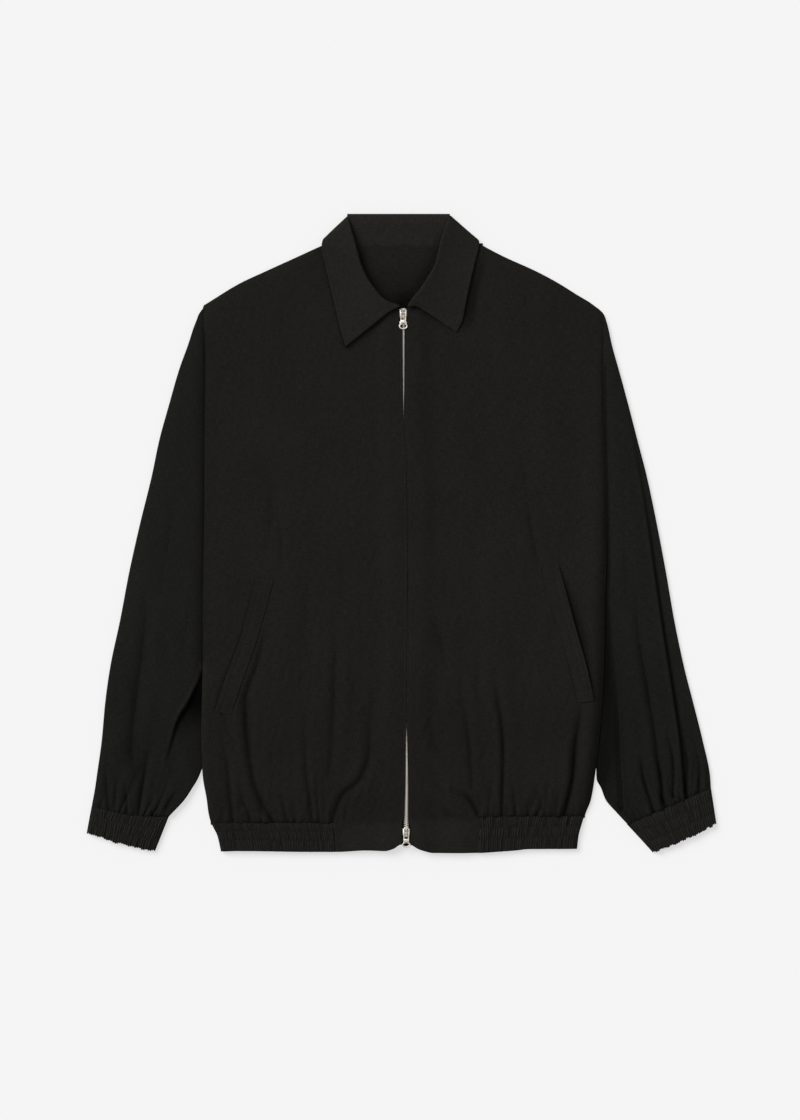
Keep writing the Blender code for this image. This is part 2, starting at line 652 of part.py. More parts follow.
def zip_line():
    """The chain and the two tapes."""
    half = CHAIN_WIDTH / 2
    zip_strip("zip_chain", -half, half, CHAIN_THICK, nickel())
    zip_strip("zip_tape_right", -half - GAP - TAPE_WIDTH, -half - GAP, TAPE, tape_cloth())
    zip_strip("zip_tape_left", half + GAP, half + GAP + TAPE_WIDTH, TAPE, tape_cloth())


def combine(target, operation, other):
    """A solid operation, applied."""
    cut = target.modifiers.new(operation, "BOOLEAN")
    cut.operation = operation
    cut.object = other
    depsgraph = bpy.context.evaluated_depsgraph_get()
    mesh = bpy.data.meshes.new_from_object(target.evaluated_get(depsgraph))
    target.modifiers.clear()
    target.data = mesh
    bpy.data.objects.remove(other)


def rod(name, size, length, centre, axis="Z"):
    """A round or oval rod: its two diameters and its length, along Z, or along X for a pin."""
    mesh = bpy.data.meshes.new(name)
    shape = bmesh.new()
    bmesh.ops.create_cone(shape, cap_ends=True, segments=24, radius1=0.5, radius2=0.5, depth=1)
    for v in shape.verts:
        x, y, z = v.co.x * size[0], v.co.y * size[1], v.co.z * length
        if axis == "X":
            x, z = z, x
        v.co = [(p + c) * MM for p, c in zip((x, y, z), centre)]
    shape.to_mesh(mesh)
    shape.free()
    return finish(name, mesh, nickel(), 30)


def slider(name, centre_y, mouth):
    """A slider: two plates with side flanges round a tunnel, the wedge that parts the teeth at its
    mouth (1 towards the collar, -1 towards the hem), and the bridge that carries the pull."""
    x = float(read(ZIP, "x", centre_y))
    ends = (centre_y - SLIDER_LENGTH / 2, centre_y + SLIDER_LENGTH / 2)
    through = (centre_y - SLIDER_LENGTH, centre_y + SLIDER_LENGTH)
    low = ZIP_Z - CHAIN_THICK / 2 - GAP - PLATE
    high = SLIDER_TOP
    half = SLIDER_WIDTH / 2
    body = box(name, (x - half, ends[0], low), (x + half, ends[1], high), nickel())
    for v in body.data.vertices:
        if (v.co.y - centre_y * MM) * mouth < 0:
            v.co.x = x * MM + (v.co.x - x * MM) * SLIDER_TAIL / SLIDER_WIDTH
    wide = half - FLANGE
    tunnel = box("tunnel", (x - wide, through[0], low + PLATE), (x + wide, through[1], high - PLATE),
                 nickel())
    combine(body, "DIFFERENCE", tunnel)
    slot_z = TAPE / 2 + GAP
    slot = box("slot", (x - 2 * half, through[0], ZIP_Z - slot_z), (x + 2 * half, through[1], ZIP_Z + slot_z),
               nickel())
    combine(body, "DIFFERENCE", slot)
    mouth_y = centre_y + mouth * SLIDER_LENGTH / 2
    wedge_y = sorted((mouth_y, mouth_y - mouth * WEDGE_LENGTH))
    wedge = box("wedge", (x - 1.2, wedge_y[0], low + PLATE / 2), (x + 1.2, wedge_y[1], high - PLATE / 2),
                nickel())
    combine(body, "UNION", wedge)
    half = BRIDGE_WIDTH / 2
    reach = BRIDGE_LENGTH / 2
    bridge = box("bridge", (x - half, centre_y - reach, high - PLATE / 3),
                 (x + half, centre_y + reach, high + EYE_HEIGHT + PLATE), nickel())
    eye = box("eye", (x - 2 * half, centre_y - reach + BRIDGE_LEG, high - PLATE),
              (x + 2 * half, centre_y + reach - BRIDGE_LEG, high + EYE_HEIGHT), nickel())
    combine(bridge, "DIFFERENCE", eye)
    combine(body, "UNION", bridge)
    return body


def pull(name, centre_y):
    """A pull lying flat towards the hem: a pin in the slider's bridge, two arms, a neck and a ring.
    Its origin is on the pin, its hinge."""
    half = PULL_THICK / 2
    body = box(name, (-ARM_OUT, NECK_END, -half), (ARM_OUT, 0, half), nickel())
    window = box("window", (-ARM_IN, WINDOW_END, -2 * half), (ARM_IN, 4, 2 * half), nickel())
    combine(body, "DIFFERENCE", window)
    centre = (0, -RING_CENTRE, 0)
    combine(body, "UNION", rod("ring", RING_SIZE, PULL_THICK, centre))
    combine(body, "DIFFERENCE", rod("hole", RING_HOLE, 3 * PULL_THICK, centre))
    combine(body, "UNION", rod("pin", (PIN, PIN), 2 * ARM_OUT, (0, 0, 0), "X"))
    body.location = (read(ZIP, "x", centre_y) * MM, centre_y * MM, (SLIDER_TOP + PIN_CLEAR + PIN / 2) * MM)
    return body


def build():
    for old in list(bpy.data.objects):
        bpy.data.objects.remove(old)
    back()
    hem_band()
    for side in ("right", "left"):
        front(side)
        sleeve(side)
        cuff(side)
        pocket_welt(side)
    collar()
    collar_stand()
    zip_line()
    slider("zip_slider_top", TOP_SLIDER_Y, 1)
    slider("zip_slider_bottom", BOTTOM_SLIDER_Y, -1)
    pull("zip_pull_top", TOP_SLIDER_Y)
    pull("zip_pull_bottom", BOTTOM_SLIDER_Y)


build()
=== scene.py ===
"""The finish of a zip-up blouson jacket with a shirt collar, laid flat, front up.

Tables are in millimetres and MM turns them into metres. "Right" and "left" are the wearer's own.
"""
from collections import namedtuple
from math import cos, hypot, pi, radians, sin

import bmesh
import bpy
import numpy as np
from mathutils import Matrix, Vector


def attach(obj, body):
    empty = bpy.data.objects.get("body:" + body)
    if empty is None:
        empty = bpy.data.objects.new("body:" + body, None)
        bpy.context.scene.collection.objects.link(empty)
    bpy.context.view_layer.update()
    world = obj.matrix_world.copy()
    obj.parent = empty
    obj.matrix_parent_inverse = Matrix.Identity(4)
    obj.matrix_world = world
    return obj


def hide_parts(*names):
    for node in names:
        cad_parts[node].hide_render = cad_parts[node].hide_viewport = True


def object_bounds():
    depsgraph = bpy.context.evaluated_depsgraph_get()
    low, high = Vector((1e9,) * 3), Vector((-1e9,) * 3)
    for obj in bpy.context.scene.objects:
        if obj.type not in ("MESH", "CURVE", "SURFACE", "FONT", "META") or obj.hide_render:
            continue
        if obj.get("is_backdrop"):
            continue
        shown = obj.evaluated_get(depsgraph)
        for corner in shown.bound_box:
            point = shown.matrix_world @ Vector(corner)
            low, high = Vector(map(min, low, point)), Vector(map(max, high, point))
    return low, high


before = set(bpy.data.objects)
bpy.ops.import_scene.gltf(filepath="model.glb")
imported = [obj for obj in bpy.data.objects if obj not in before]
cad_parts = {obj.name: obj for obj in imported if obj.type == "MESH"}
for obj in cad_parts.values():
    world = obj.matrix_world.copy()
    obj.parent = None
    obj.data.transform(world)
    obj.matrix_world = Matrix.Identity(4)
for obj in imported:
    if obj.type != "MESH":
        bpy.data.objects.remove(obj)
cad_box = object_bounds()

MM = 0.001
SIDES = ("right", "left")
SIGN = {"right": -1, "left": 1}
UP = np.array((0, 0, 1))

CLOTH = 0.55                # one ply of the cloth
RUCHED = 0.7                # one ply of the band and the cuffs, elastic and all
GAP = 0.3
ZIP_ROLL = 0.5              # the round of the front edges where they turn under
ARMHOLE_SEAM = 0.5
BAND_SEAM = 0.8
CUFF_SEAM = 0.9
FRONT_TOP = 5.4
SEAM_TOP = 2.7
SLEEVE_TOP = 6.4
SLEEVE_EDGE = 3.5
SLEEVE_LENGTH = 620
SLEEVE_AREA = {"right": 0.102, "left": 0.09}    # square metres, all round
BAND_TOP = 6.3
BAND_WIDE = 36.0
BAND_ROWS = (11.5, 22.5)    # its stitch rows, below its seam
CUFF_WIDE = 40.0
CUFF_ROWS = (13.5, 27)
RIDGE = {"cuff": 3.2, "band": 2.9}              # from one ridge of the ruching to the next
NECK_SEAM_Y = 343.2
STAND_TOP_Y = 379.5
SHOULDER_Y = {"right": 268, "left": 258}
SIDE_TOP_Y = 255
ARMHOLE_END_Y = 10
ZIP_Z = 5.0
CHAIN_THICK = 2.2
TOOTH_PITCH = 2.66
SLIDER_LENGTH = 12.0
SLIDER_WIDTH = 9.0
SLIDER_TAIL = 7.4
PLATE = 1.0
SLIDER_TOP = ZIP_Z + CHAIN_THICK / 2 + GAP + PLATE
EYE_HEIGHT = 2.1
PIN = 1.4
PIN_CLEAR = 0.35
PULL_THICK = 1.2
PULL_REACH = 16.2           # from the pin to the middle of the ring
TOP_SLIDER_Y = 263.0
BOTTOM_SLIDER_Y = -360.5
JOIN_X = {"right": -80, "left": 92}             # where the hem band ends at the plain hem
JOIN_SHARE = {"right": 14 / 22, "left": 13 / 22}
COLLAR_LAST = 22            # the last of the collar's sections
COLLAR_ROLL = 1.9           # the round of its roll
FALL_WIDE = 57.0
STAND_WIDE = 115
STAND_HIGH = 36.5
FRONT_WIDE = 237            # from a front's side to the zip
FRONT_END_Y = 356           # the top of a front, at the neck
HEM_DEEP = 37               # from the hem's edge to the level of the band's seam
BACK_WIDE = 480
UNDER_BAND_WIDE = 440
CUFF_AROUND = 100           # half way round a cuff
WELT_WIDE = 20
TAPE_WIDE = 13
COLLAR_ROW = 5.6            # from the collar's edge to its stitches
STITCH = 3.0
STITCH_FROM_ZIP = 2.6       # from the zip's open edge to the stitches beside it
HEM_STITCH = 6.4            # from the plain hem's edge to its stitches
LOWER_SHADE = 0.085         # how much darker the body is towards its hem


def table(columns, *rows):
    """A short table as named columns, sorted by the first one."""
    rows = np.array(sorted(rows), float)
    return dict(zip(columns.split(), rows.T))


BODY = table(
    "y right left",
    (357, -66, 70), (345, -93, 92), (332, -122, 117), (312, -166, 161), (298, -196, 187),
    (283, -221, 211), (276, -232, 223), (272, -238.8, 228.5), (268, -240.1, 234),
    (264, -240.2, 238.5), (260, -240.3, 241.6), (257, -240, 242), (203, -238, 241),
    (114, -239, 242), (-22, -239, 244), (-89, -240, 242), (-154, -240, 241), (-202, -241, 239),
    (-250, -242, 235), (-292, -240, 230), (-322, -235, 225), (-338, -233, 219),
    (-350, -230, 215), (-365, -223, 211), (-382, -219, 209),
)
HEM = table(
    "x seam edge back",
    (-232, -349, -384, -384), (-195, -349, -383, -382.6), (-110, -349, -384, -380),
    (-79, -349, -384, -378.4), (-45, -348.4, -382.2, -376), (-22, -348, -382.8, -374.6),
    (-12, -347, -380.2, -374), (-2, -346, -374.6, -375.6), (3.5, -345.6, -374.4, -377.6),
    (9, -345, -375, -375),
    (18, -344, -380, -373.2), (27, -343.5, -383.2, -373.6), (36, -343, -385.2, -374),
    (72, -342, -385.4, -375.6), (93, -341, -385.2, -377), (112, -341, -384, -378.2),
    (134, -341, -382.4, -379.2), (152, -341, -380.6, -380), (218, -341, -380.4, -380.4),
)
NECKLINE = table(
    "y right left",
    (360, -63, 52), (345, -59, 47), (322, -53, 42), (303, -43, 31), (291, -36, 24),
    (279, -23, 12), (271, -8, 6),
)
ZIP = table(
    "y x gap",
    (300, 0.3, 5.0), (256, 0.3, 5.0), (248, 0.5, 1.5), (224, 0.6, 1.25), (165, 0.7, 0.75),
    (133, 0.7, 0.25), (100, 2.6, 0.2), (55, 4.5, 0.2), (-42, 5.3, 0.2), (-228, 4.2, 0.25),
    (-244, 4.2, 0.8), (-262, 4.3, 1.2), (-301, 4.4, 1.8), (-346, 3.9, 2.4), (-352, 3.9, 5.0),
    (-382, 3.9, 5.6),
)
SLEEVE_OUTER = table(
    "y right left",
    (268, -241.6, 242.4), (262, -245.4, 242.4), (254, -248.8, 244.8), (246, -252.3, 247.2),
    (226, -259, 252), (197, -269, 260), (154, -281, 271),
    (110, -293, 282), (67, -302, 293), (10, -316, 305), (-48, -329, 316), (-106, -340, 326),
    (-163, -352, 338), (-206, -358, 349), (-250, -362, 360), (-293, -368, 369),
    (-307, -370, 370), (-329, -374, 371),
)
SLEEVE_INNER = table(
    "y right left",
    (-284, -241.5, 232.5), (-297, -247, 233), (-307, -253, 238), (-322, -263, 244),
    (-336, -276, 256), (-350, -290, 269),
)
CUFFS = {
    "right": {"top": ((-281, -341), (-374, -329)), "end": ((-298, -383.5), (-380, -361)),
              "sag": 4.5, "swell": 1.6},
    "left": {"top": ((269, -351), (370, -307.5)), "end": ((300, -384.5), (376.5, -349.5)),
             "sag": 0.0, "swell": 2.4},
}
COLLAR_SECTIONS = table(
    "order roll_x roll_y edge_x edge_y roll_z edge_z",
    (0, -4.0, 271.5, -68.5, 223.5, 12.4, 8.6),
    (1, -19.6, 277.4, -73.5, 240, 12.4, 8.4),
    (2, -33.2, 291.2, -78, 258, 12.4, 8.3),
    (3, -43, 306, -82.5, 277, 12.4, 8.0),
    (4, -50.2, 321.8, -87, 296, 12.2, 7.6),
    (5, -56.4, 344.9, -92.5, 320, 11.6, 7.2),
    (6, -60.8, 360, -97, 340, 10.6, 6.6),
    (7, -64.5, 373, -96.5, 348, 8.2, 5.6),
    (8, -66.2, 379, -94, 352.5, 4.6, 3.4),
    (9, -62, 381, -88, 345, 1.7, 1.1),
    (10, -40, 381.5, -55, 334, 1.5, 0.8),
    (11, -5.5, 382, -3, 331, 1.5, 0.8),
    (12, 33, 382, 46, 335, 1.5, 0.8),
    (13, 52, 381.5, 82, 345, 1.7, 1.1),
    (14, 56, 380, 89, 351, 4.6, 3.4),
    (15, 53.5, 374, 91, 346.5, 8.2, 5.8),
    (16, 48.6, 360, 90, 340, 10.6, 6.6),
    (17, 44, 344.9, 84.6, 319, 11.6, 7.2),
    (18, 38.6, 321.8, 80, 299, 12.4, 7.5),
    (19, 29.5, 305, 76.8, 285, 12.8, 7.6),
    (20, 20.3, 291.2, 73.5, 268, 12.8, 7.6),
    (21, 11, 279.5, 70.5, 253.5, 12.8, 7.3),
    (22, 6.2, 271.5, 64, 240.5, 12.6, 6.8),
)
# The roll line's place either side of the back neck.
STAND_SIDES = table(
    "y right left",
    (340, -55.6, 42.6), (344.9, -56.4, 44), (360, -60.8, 48.6), (373, -64.0, 53),
    (383, -65.4, 54.8),
)
WELTS = {
    "right": table(
        "y open seam",
        (-56, -176, -156), (-83, -183, -163), (-128, -195, -176), (-173, -212, -192),
        (-216, -226, -206),
    ),
    "left": table(
        "y open seam",
        (-42, 187, 167), (-71, 195, 173), (-112, 206, 186), (-162, 220, 201), (-202, 229, 210),
    ),
}

# A crease sinks along its route and is pushed up beside it: its depth at the start, the middle and
# the end, its half width at the start and the end, and the side (1 or -1, across +X) of its ridge.
Crease = namedtuple("Crease", "route depth width ridge")
CREASES = {
    "front_right": (
        Crease(((-224, -232), (-213, -272), (-209, -308), (-205, -346)), (0, 2.8, 3.4), (6, 5), 1),
        Crease(((-165, -112), (-168, -126), (-176, -158), (-187, -187), (-190.5, -204),
               (-189, -240), (-185.5, -268), (-181, -295), (-172, -322), (-157, -346)),
               (0.3, 3.4, 3.6), (8, 7), -1),
        Crease(((-198, -304), (-191, -324), (-182, -350)), (0, 2.2, 2.8), (4, 3), 1),
        Crease(((-146, -310), (-143, -333), (-138, -350)), (0, 2.0, 2.8), (3.5, 3), 1),
        Crease(((-131, -322), (-130, -349)), (0, 1.2, 2.2), (3, 2.5), 1),
        Crease(((-119, -205), (-118, -271), (-114, -310), (-109, -348)), (0, 3.0, 3.4), (6, 4.5),
               1),
        Crease(((-104, -290), (-104, -313), (-101, -349)), (0, 2.2, 2.8), (3.5, 3), 1),
        Crease(((-84, -82), (-83, -160), (-85, -224), (-90, -290)), (0, 2.6, 1.6), (9, 9), 1),
        Crease(((-28, -172), (-41, -222), (-42, -269), (-54, -298), (-74, -316), (-85, -346)),
               (0, 3.4, 3.8), (8, 5.5), -1),
        Crease(((-60, -306), (-66, -324), (-70, -345)), (0.5, 1.5, 1.2), (4, 4), 1),
        Crease(((-163, 82), (-160, 20), (-168, -34)), (0, 1.3, 0), (12, 12), 1),
        Crease(((-152, 34), (-146, -18), (-150, -60)), (0, 1.2, 0), (6, 6), 1),
        Crease(((-75, -10), (-74, -60), (-79, -106)), (0, 0.9, 0), (12, 12), -1),
        Crease(((-113, -30), (-118, -90), (-116, -150)), (0, 0.8, 0.4), (9, 9), 1),
        Crease(((-215, -222), (-212, -236), (-204, -252)), (0.8, 1.4, 0), (5, 5), 1),
    ),
    "front_left": (
        Crease(((66, -170), (78, -250), (82, -306)), (0, 2.6, 1.8), (8, 6), 1),
        Crease(((106, -170), (114, -206), (120, -256), (118, -339)), (0, 3.8, 4.0), (7, 4), -1),
        Crease(((131, -304), (135, -339)), (0.4, 2.2, 2.6), (4, 3), 1),
        Crease(((147, -318), (149, -340)), (0.2, 1.4, 2.2), (3.2, 2.6), -1),
        Crease(((160, -306), (165, -328), (159, -341)), (0.4, 2.6, 2.6), (4.5, 3), 1),
        Crease(((186, -312), (183, -341)), (0.4, 2.4, 2.6), (4.5, 3), 1),
        Crease(((213, -210), (206, -258), (203, -295), (193, -340)), (1.2, 6.0, 5.0), (8, 6), -1),
        Crease(((62, -312), (76, -318), (86, -331), (91, -342)), (1.6, 4.8, 3.6), (5.5, 3.5), 1),
        Crease(((46, -326), (56, -340), (82, -348)), (0, 2.0, 1.4), (5, 4), -1),
        Crease(((30, -332), (40, -344), (60, -352)), (0, 1.2, 0), (5, 5), -1),
        Crease(((28, -230), (42, -264), (57, -284)), (0, 1.5, 0), (9, 8), -1),
        Crease(((30, -284), (42, -304), (52, -318)), (0, 1.0, 0), (7, 7), 1),
        Crease(((33, -100), (44, -130), (52, -172)), (0, 1.8, 0), (9, 10), -1),
        Crease(((92, -125), (88, -180), (92, -214)), (0, 1.4, 0), (8, 8), 1),
        Crease(((30, 50), (50, 36), (62, 40), (76, 56)), (0, 1.8, 0), (6, 6), 1),
        Crease(((148, 50), (152, 10), (162, -36)), (0, 1.8, 1.0), (6, 6), 1),
        Crease(((140, 96), (146, 62), (160, 30)), (0, 0.9, 0), (8, 8), -1),
        Crease(((50, -30), (48, -58), (52, -90)), (0, 1.0, 0), (9, 9), 1),
        Crease(((120, -84), (128, -130), (126, -170)), (0, 0.8, 0), (9, 9), -1),
    ),
    "sleeve_right": (
        Crease(((-306, -256), (-312, -296), (-318, -336)), (0, 4.2, 4.0), (7, 4), 1),
        Crease(((-344, -292), (-346, -314), (-346, -334)), (0, 2.4, 2.6), (4, 3), 1),
        Crease(((-335, -298), (-332.5, -318), (-331, -337)), (0, 3.0, 3.0), (3.2, 2.6), 1),
        Crease(((-357, -262), (-357, -300), (-354, -331)), (0, 2.4, 3.2), (6, 4), -1),
        Crease(((-300, -318), (-303, -341)), (0, 1.8, 2.4), (3.5, 3), 1),
        Crease(((-293, -325), (-297, -341)), (0, 1.8, 2.2), (3.5, 3), 1),
        Crease(((-271, -308), (-285, -331)), (0, 2.0, 2.0), (4, 3.5), 1),
        Crease(((-312, -60), (-312, -120), (-323, -205), (-328, -262), (-322, -292)),
               (0, 3.2, 0.4), (11, 11), 1),
        Crease(((-274, 62), (-284, -13), (-297, -97)), (0, 1.2, 0), (12, 12), 1),
        Crease(((-256, -60), (-262, -120), (-270, -170)), (0, 1.0, 0), (8, 8), -1),
    ),
    "sleeve_left": (
        Crease(((277, -50), (281, -122), (292, -184), (303, -253), (314, -336)), (0, 3.0, 3.6),
               (8, 5), -1),
        Crease(((284, -266), (289, -298), (301, -336)), (0.3, 4.2, 4.0), (4.5, 3.2), -1),
        Crease(((300, -256), (309, -293), (311, -326)), (0.2, 3.4, 3.4), (4, 3), 1),
        Crease(((315, -234), (324, -275), (324, -318)), (0.2, 4.0, 3.6), (4, 3), 1),
        Crease(((333, -232), (341, -275), (339, -312)), (0.2, 3.6, 3.4), (4, 3), 1),
        Crease(((348, -244), (356, -284), (354, -314)), (0.2, 3.2, 3.0), (3.6, 2.8), -1),
        Crease(((363, -262), (366, -306)), (0, 2.4, 2.4), (3, 2.4), 1),
        Crease(((272, -330), (285, -354)), (0, 2.6, 3.0), (3.5, 3), 1),
        Crease(((262, 20), (266, -60), (270, -110)), (0, 1.0, 0), (9, 9), 1),
    ),
}
# Where one layer of a sleeve lies over the next: the drop to the lower layer at the start, the
# middle and the end, and the side (1 or -1, across +X) that lies lower.
Lap = namedtuple("Lap", "route drop low")
RIGHT_LAP = ((-238.5, -158), (-244, -176), (-250, -190), (-257, -204), (-270, -226), (-277, -248),
             (-284, -274))
LAPS = {
    "sleeve_right": (
        Lap(RIGHT_LAP, (2.6, 4.4, 0.4), 1),
    ),
    "sleeve_left": (
        Lap(((268, 157), (290, 38), (311, -107), (332, -244), (338, -318)), (0, 3.4, 3.0), 1),
        Lap(((250, -120), (257, -202), (260, -274), (264, -333)), (0, 3.0, 3.0), -1),
    ),
}

# Painted shade and painted shadow: where cloth lies deep between others, and beside raised edges
# that would cast a shadow on it, its colour is darkened: a route, the reach beside it and how much
# darker it is there, each spread evenly along the route, the side (1 or -1, across +X of a route
# that runs down, 0 for both), and how suddenly it ends.
Shade = namedtuple("Shade", "route reach amount side power", defaults=(1.6,))
RIGHT_ROLL = ((-60.8, 360), (-56.4, 345), (-50.2, 322), (-43, 306), (-33.2, 291), (-19.6, 277.4),
              (-4, 271))
LEFT_ROLL = ((48.6, 360), (44, 345), (38.6, 322), (29.5, 305), (20.3, 291), (11, 279.5), (6.2, 271))
RIGHT_SIDE = ((-238, 240), (-239, 110), (-239, -22), (-239.5, -89), (-240, -154))
LEFT_SIDE = ((242, 200), (242, 130), (244, -22), (242, -82), (241, -130), (240, -178), (235, -250),
             (230, -298), (225, -326))
SHADES = {
    "back": (
        Shade(RIGHT_ROLL, (5, 8, 12, 20, 24, 22, 18), (0.04, 0.06, 0.1, 0.14, 0.2, 0.28, 0.4), 1,
              2),
        Shade(LEFT_ROLL, (3, 6, 9, 11, 12, 12, 12), (0.2, 0.32, 0.5, 0.5, 0.48, 0.48, 0.5), -1),
        Shade(((1, 302), (1, 294), (1, 288), (1, 282), (1, 268)), (10, 12, 16, 17, 18),
              (0, 0.05, 0.2, 0.42, 0.52), 0, 2),
    ),
    "front_right": (
        Shade(((-97, 340), (-82, 277), (-68.5, 223.5)), (2.2, 2.4, 2.6), (0.45, 0.6, 0.7), -1),
        Shade(((-176.4, -58), (-183.2, -83), (-195.3, -128), (-212.2, -173), (-225.6, -214)),
              (1.8, 1.8, 2.0, 2.2, 2.0), (0.25, 0.5, 0.55, 0.65, 0.5), -1),
        Shade(((-155.6, -56), (-175, -128), (-191, -173), (-204, -214)), (1.8, 1.8), (0.14, 0.05),
              1),
        Shade(((-167, -122), (-176, -158), (-188, -190), (-190, -205), (-188, -240), (-185, -268)),
              (1.8, 2.4, 3.2, 4.6, 4.6, 4), (0.1, 0.3, 0.26, 0.24, 0.22, 0.08), 0, 3),
        Shade(RIGHT_SIDE, (5, 5), (0.24, 0.24), 1),
    ),
    "front_left": (
        Shade(((97, 335), (92, 318), (87, 299), (83.5, 285), (80.5, 268), (77.5, 253), (71, 243)),
              (5, 6, 6.5, 7, 7.5, 7, 4), (0.1, 0.36, 0.44, 0.46, 0.46, 0.36, 0.05), 0, 3.5),
        Shade(((8, 271), (17, 270.5), (40, 256), (62, 241)), (4, 5, 4, 3),
              (0.35, 0.45, 0.35, 0.12), -1),
        Shade(((187, -41), (193, -62), (206, -112), (213, -137), (221, -167), (229, -203)),
              (1.8, 5, 10.5, 10.5, 5, 1.8), (0.3, 0.48, 0.52, 0.5, 0.42, 0.3), 1, 2.6),
        Shade(((166.5, -45), (181.5, -99), (192, -130), (206, -188), (210.5, -203)),
              (1.6, 1.7, 1.7), (0.35, 0.4, 0.45), -1),
        Shade(((209, -228), (206, -258), (203, -295), (194, -338)), (2.5, 3.6, 3.4),
              (0.1, 0.26, 0.26), 0, 2),
        Shade(LEFT_SIDE, (8, 9, 10, 10), (0.05, 0.08, 0.12, 0.12), -1),
    ),
    "sleeve_right": (
        Shade(((-322, -232), (-328, -262), (-322, -288)), (10, 13, 9), (0, 0.24, 0.06), 0, 2),
        Shade(RIGHT_SIDE, (3, 3.4, 3.6), (0.4, 0.6, 0.6), -1),
        Shade(RIGHT_LAP, (30, 30), (0.82, 0.86, 0.88, 0.82, 0.42, 0.08, 0), 1,
              4),
    ),
    "sleeve_left": (
        Shade(LEFT_SIDE, (2.5, 3, 4.8, 5.5, 9.5, 13, 26, 17, 12),
              (0.3, 0.5, 0.65, 0.74, 0.74, 0.68, 0.45, 0.52, 0.42), 1, 3.5),
        Shade(LEFT_SIDE, (20, 25, 30, 40, 52, 56, 50), (0, 0.04, 0.08, 0.13, 0.15, 0.12, 0.08), 1),
    ),
}


def by(side, right, left):
    """What differs between the two sides of the jacket."""
    return right if side == "right" else left


def smooth(at, knots, values):
    """Values on a smooth curve through a table's rows that never overshoots them."""
    step = np.diff(knots)
    rise = np.diff(values) / step
    slope = np.zeros(len(knots))
    same = rise[:-1] * rise[1:] > 0
    slope[1:-1][same] = (2 * rise[:-1] * rise[1:])[same] / (rise[:-1] + rise[1:])[same]
    slope[0], slope[-1] = rise[0], rise[-1]
    at = np.clip(np.asarray(at, float), knots[0], knots[-1])
    i = np.clip(np.searchsorted(knots, at) - 1, 0, len(step) - 1)
    return cubic((at - knots[i]) / step[i], values[i], values[i + 1], step[i] * slope[i],
                 step[i] * slope[i + 1])


def cubic(t, start, end, leave, arrive):
    """A smooth curve from start to end that leaves and arrives with the slopes given."""
    return (start * (1 + 2 * t) * (1 - t) ** 2 + end * t * t * (3 - 2 * t)
            + leave * t * (1 - t) ** 2 - arrive * t * t * (1 - t))


def read(rows, column, at):
    """One column of a table at the places `at` of its first column."""
    return smooth(at, next(iter(rows.values())), rows[column])


def ease(t):
    """A soft step from 0 to 1."""
    t = np.clip(t, 0, 1)
    return t * t * (3 - 2 * t)


def bell(distance, width):
    """A soft hump of height 1."""
    return np.exp(-(distance / width) ** 2)


def spread(values, along):
    """Values spread evenly along a route, read at the places `along` it, from 0 to 1."""
    return np.interp(along, np.linspace(0, 1, len(values)), values)


def spaced(*stretches):
    """Places along a line, each stretch (from, to, step) with a step of its own."""
    parts = [np.linspace(a, b, max(2, round(abs(b - a) / step) + 1))[:-1]
             for a, b, step in stretches]
    return np.concatenate(parts + [[stretches[-1][1]]])


def pair(x, y):
    return np.stack(np.broadcast_arrays(x, y), axis=-1)


def grid(x, y, z):
    return np.stack(np.broadcast_arrays(x, y, z), axis=2)


def unit(vectors):
    return vectors / np.maximum(np.linalg.norm(vectors, axis=-1, keepdims=True), 1e-9)


def travelled(points, axis=0):
    """How far along its line each point lies, from the line's first point."""
    steps = np.linalg.norm(np.diff(points, axis=axis), axis=-1)
    start = np.zeros_like(np.take(steps, [0], axis))
    return np.concatenate([start, np.cumsum(steps, axis)], axis)


def bent(edge, out, up, radius, degrees):
    """The points of an edge carried part of the way round a half circle, outwards and under."""
    angle = radians(degrees)
    return edge + out * radius * sin(angle) - up * radius * (1 - cos(angle))


def rounded(route, count=18):
    """A route's points on a smooth curve through them."""
    route = np.array(route, float)
    at = np.linspace(0, len(route) - 1, count)
    if len(route) < 3:
        return route[0] + (route[1] - route[0]) * at[:, None]
    tangent = np.gradient(route, axis=0)
    i = np.clip(at.astype(int), 0, len(route) - 2)
    return cubic((at - i)[:, None], route[i], route[i + 1], tangent[i], tangent[i + 1])


def beside(x, y, route):
    """Each point's distance from a route, positive towards +X of a route that runs down, and how
    far along the route it lies, from 0 to 1."""
    best = np.full(x.shape, 1e9)
    signed, along = np.zeros(x.shape), np.zeros(x.shape)
    spans = len(route) - 1
    for k in range(spans):
        (start_x, start_y), (dx, dy) = route[k], np.subtract(route[k + 1], route[k])
        from_x, from_y = x - start_x, y - start_y
        t = np.clip((from_x * dx + from_y * dy) / (dx * dx + dy * dy), 0, 1)
        away = np.hypot(from_x - t * dx, from_y - t * dy)
        side = np.where(dx * from_y - dy * from_x >= 0, 1, -1)
        near = away < best
        best = np.where(near, away, best)
        signed = np.where(near, away * side, signed)
        along = np.where(near, (k + t) / spans, along)
    return signed, along


def rows_of(piece, tables, x, y):
    """A piece's rows in a table, each with how far beside its route and along it every point is."""
    for row in tables.get(piece, ()):
        yield row, *beside(x, y, rounded(row.route))


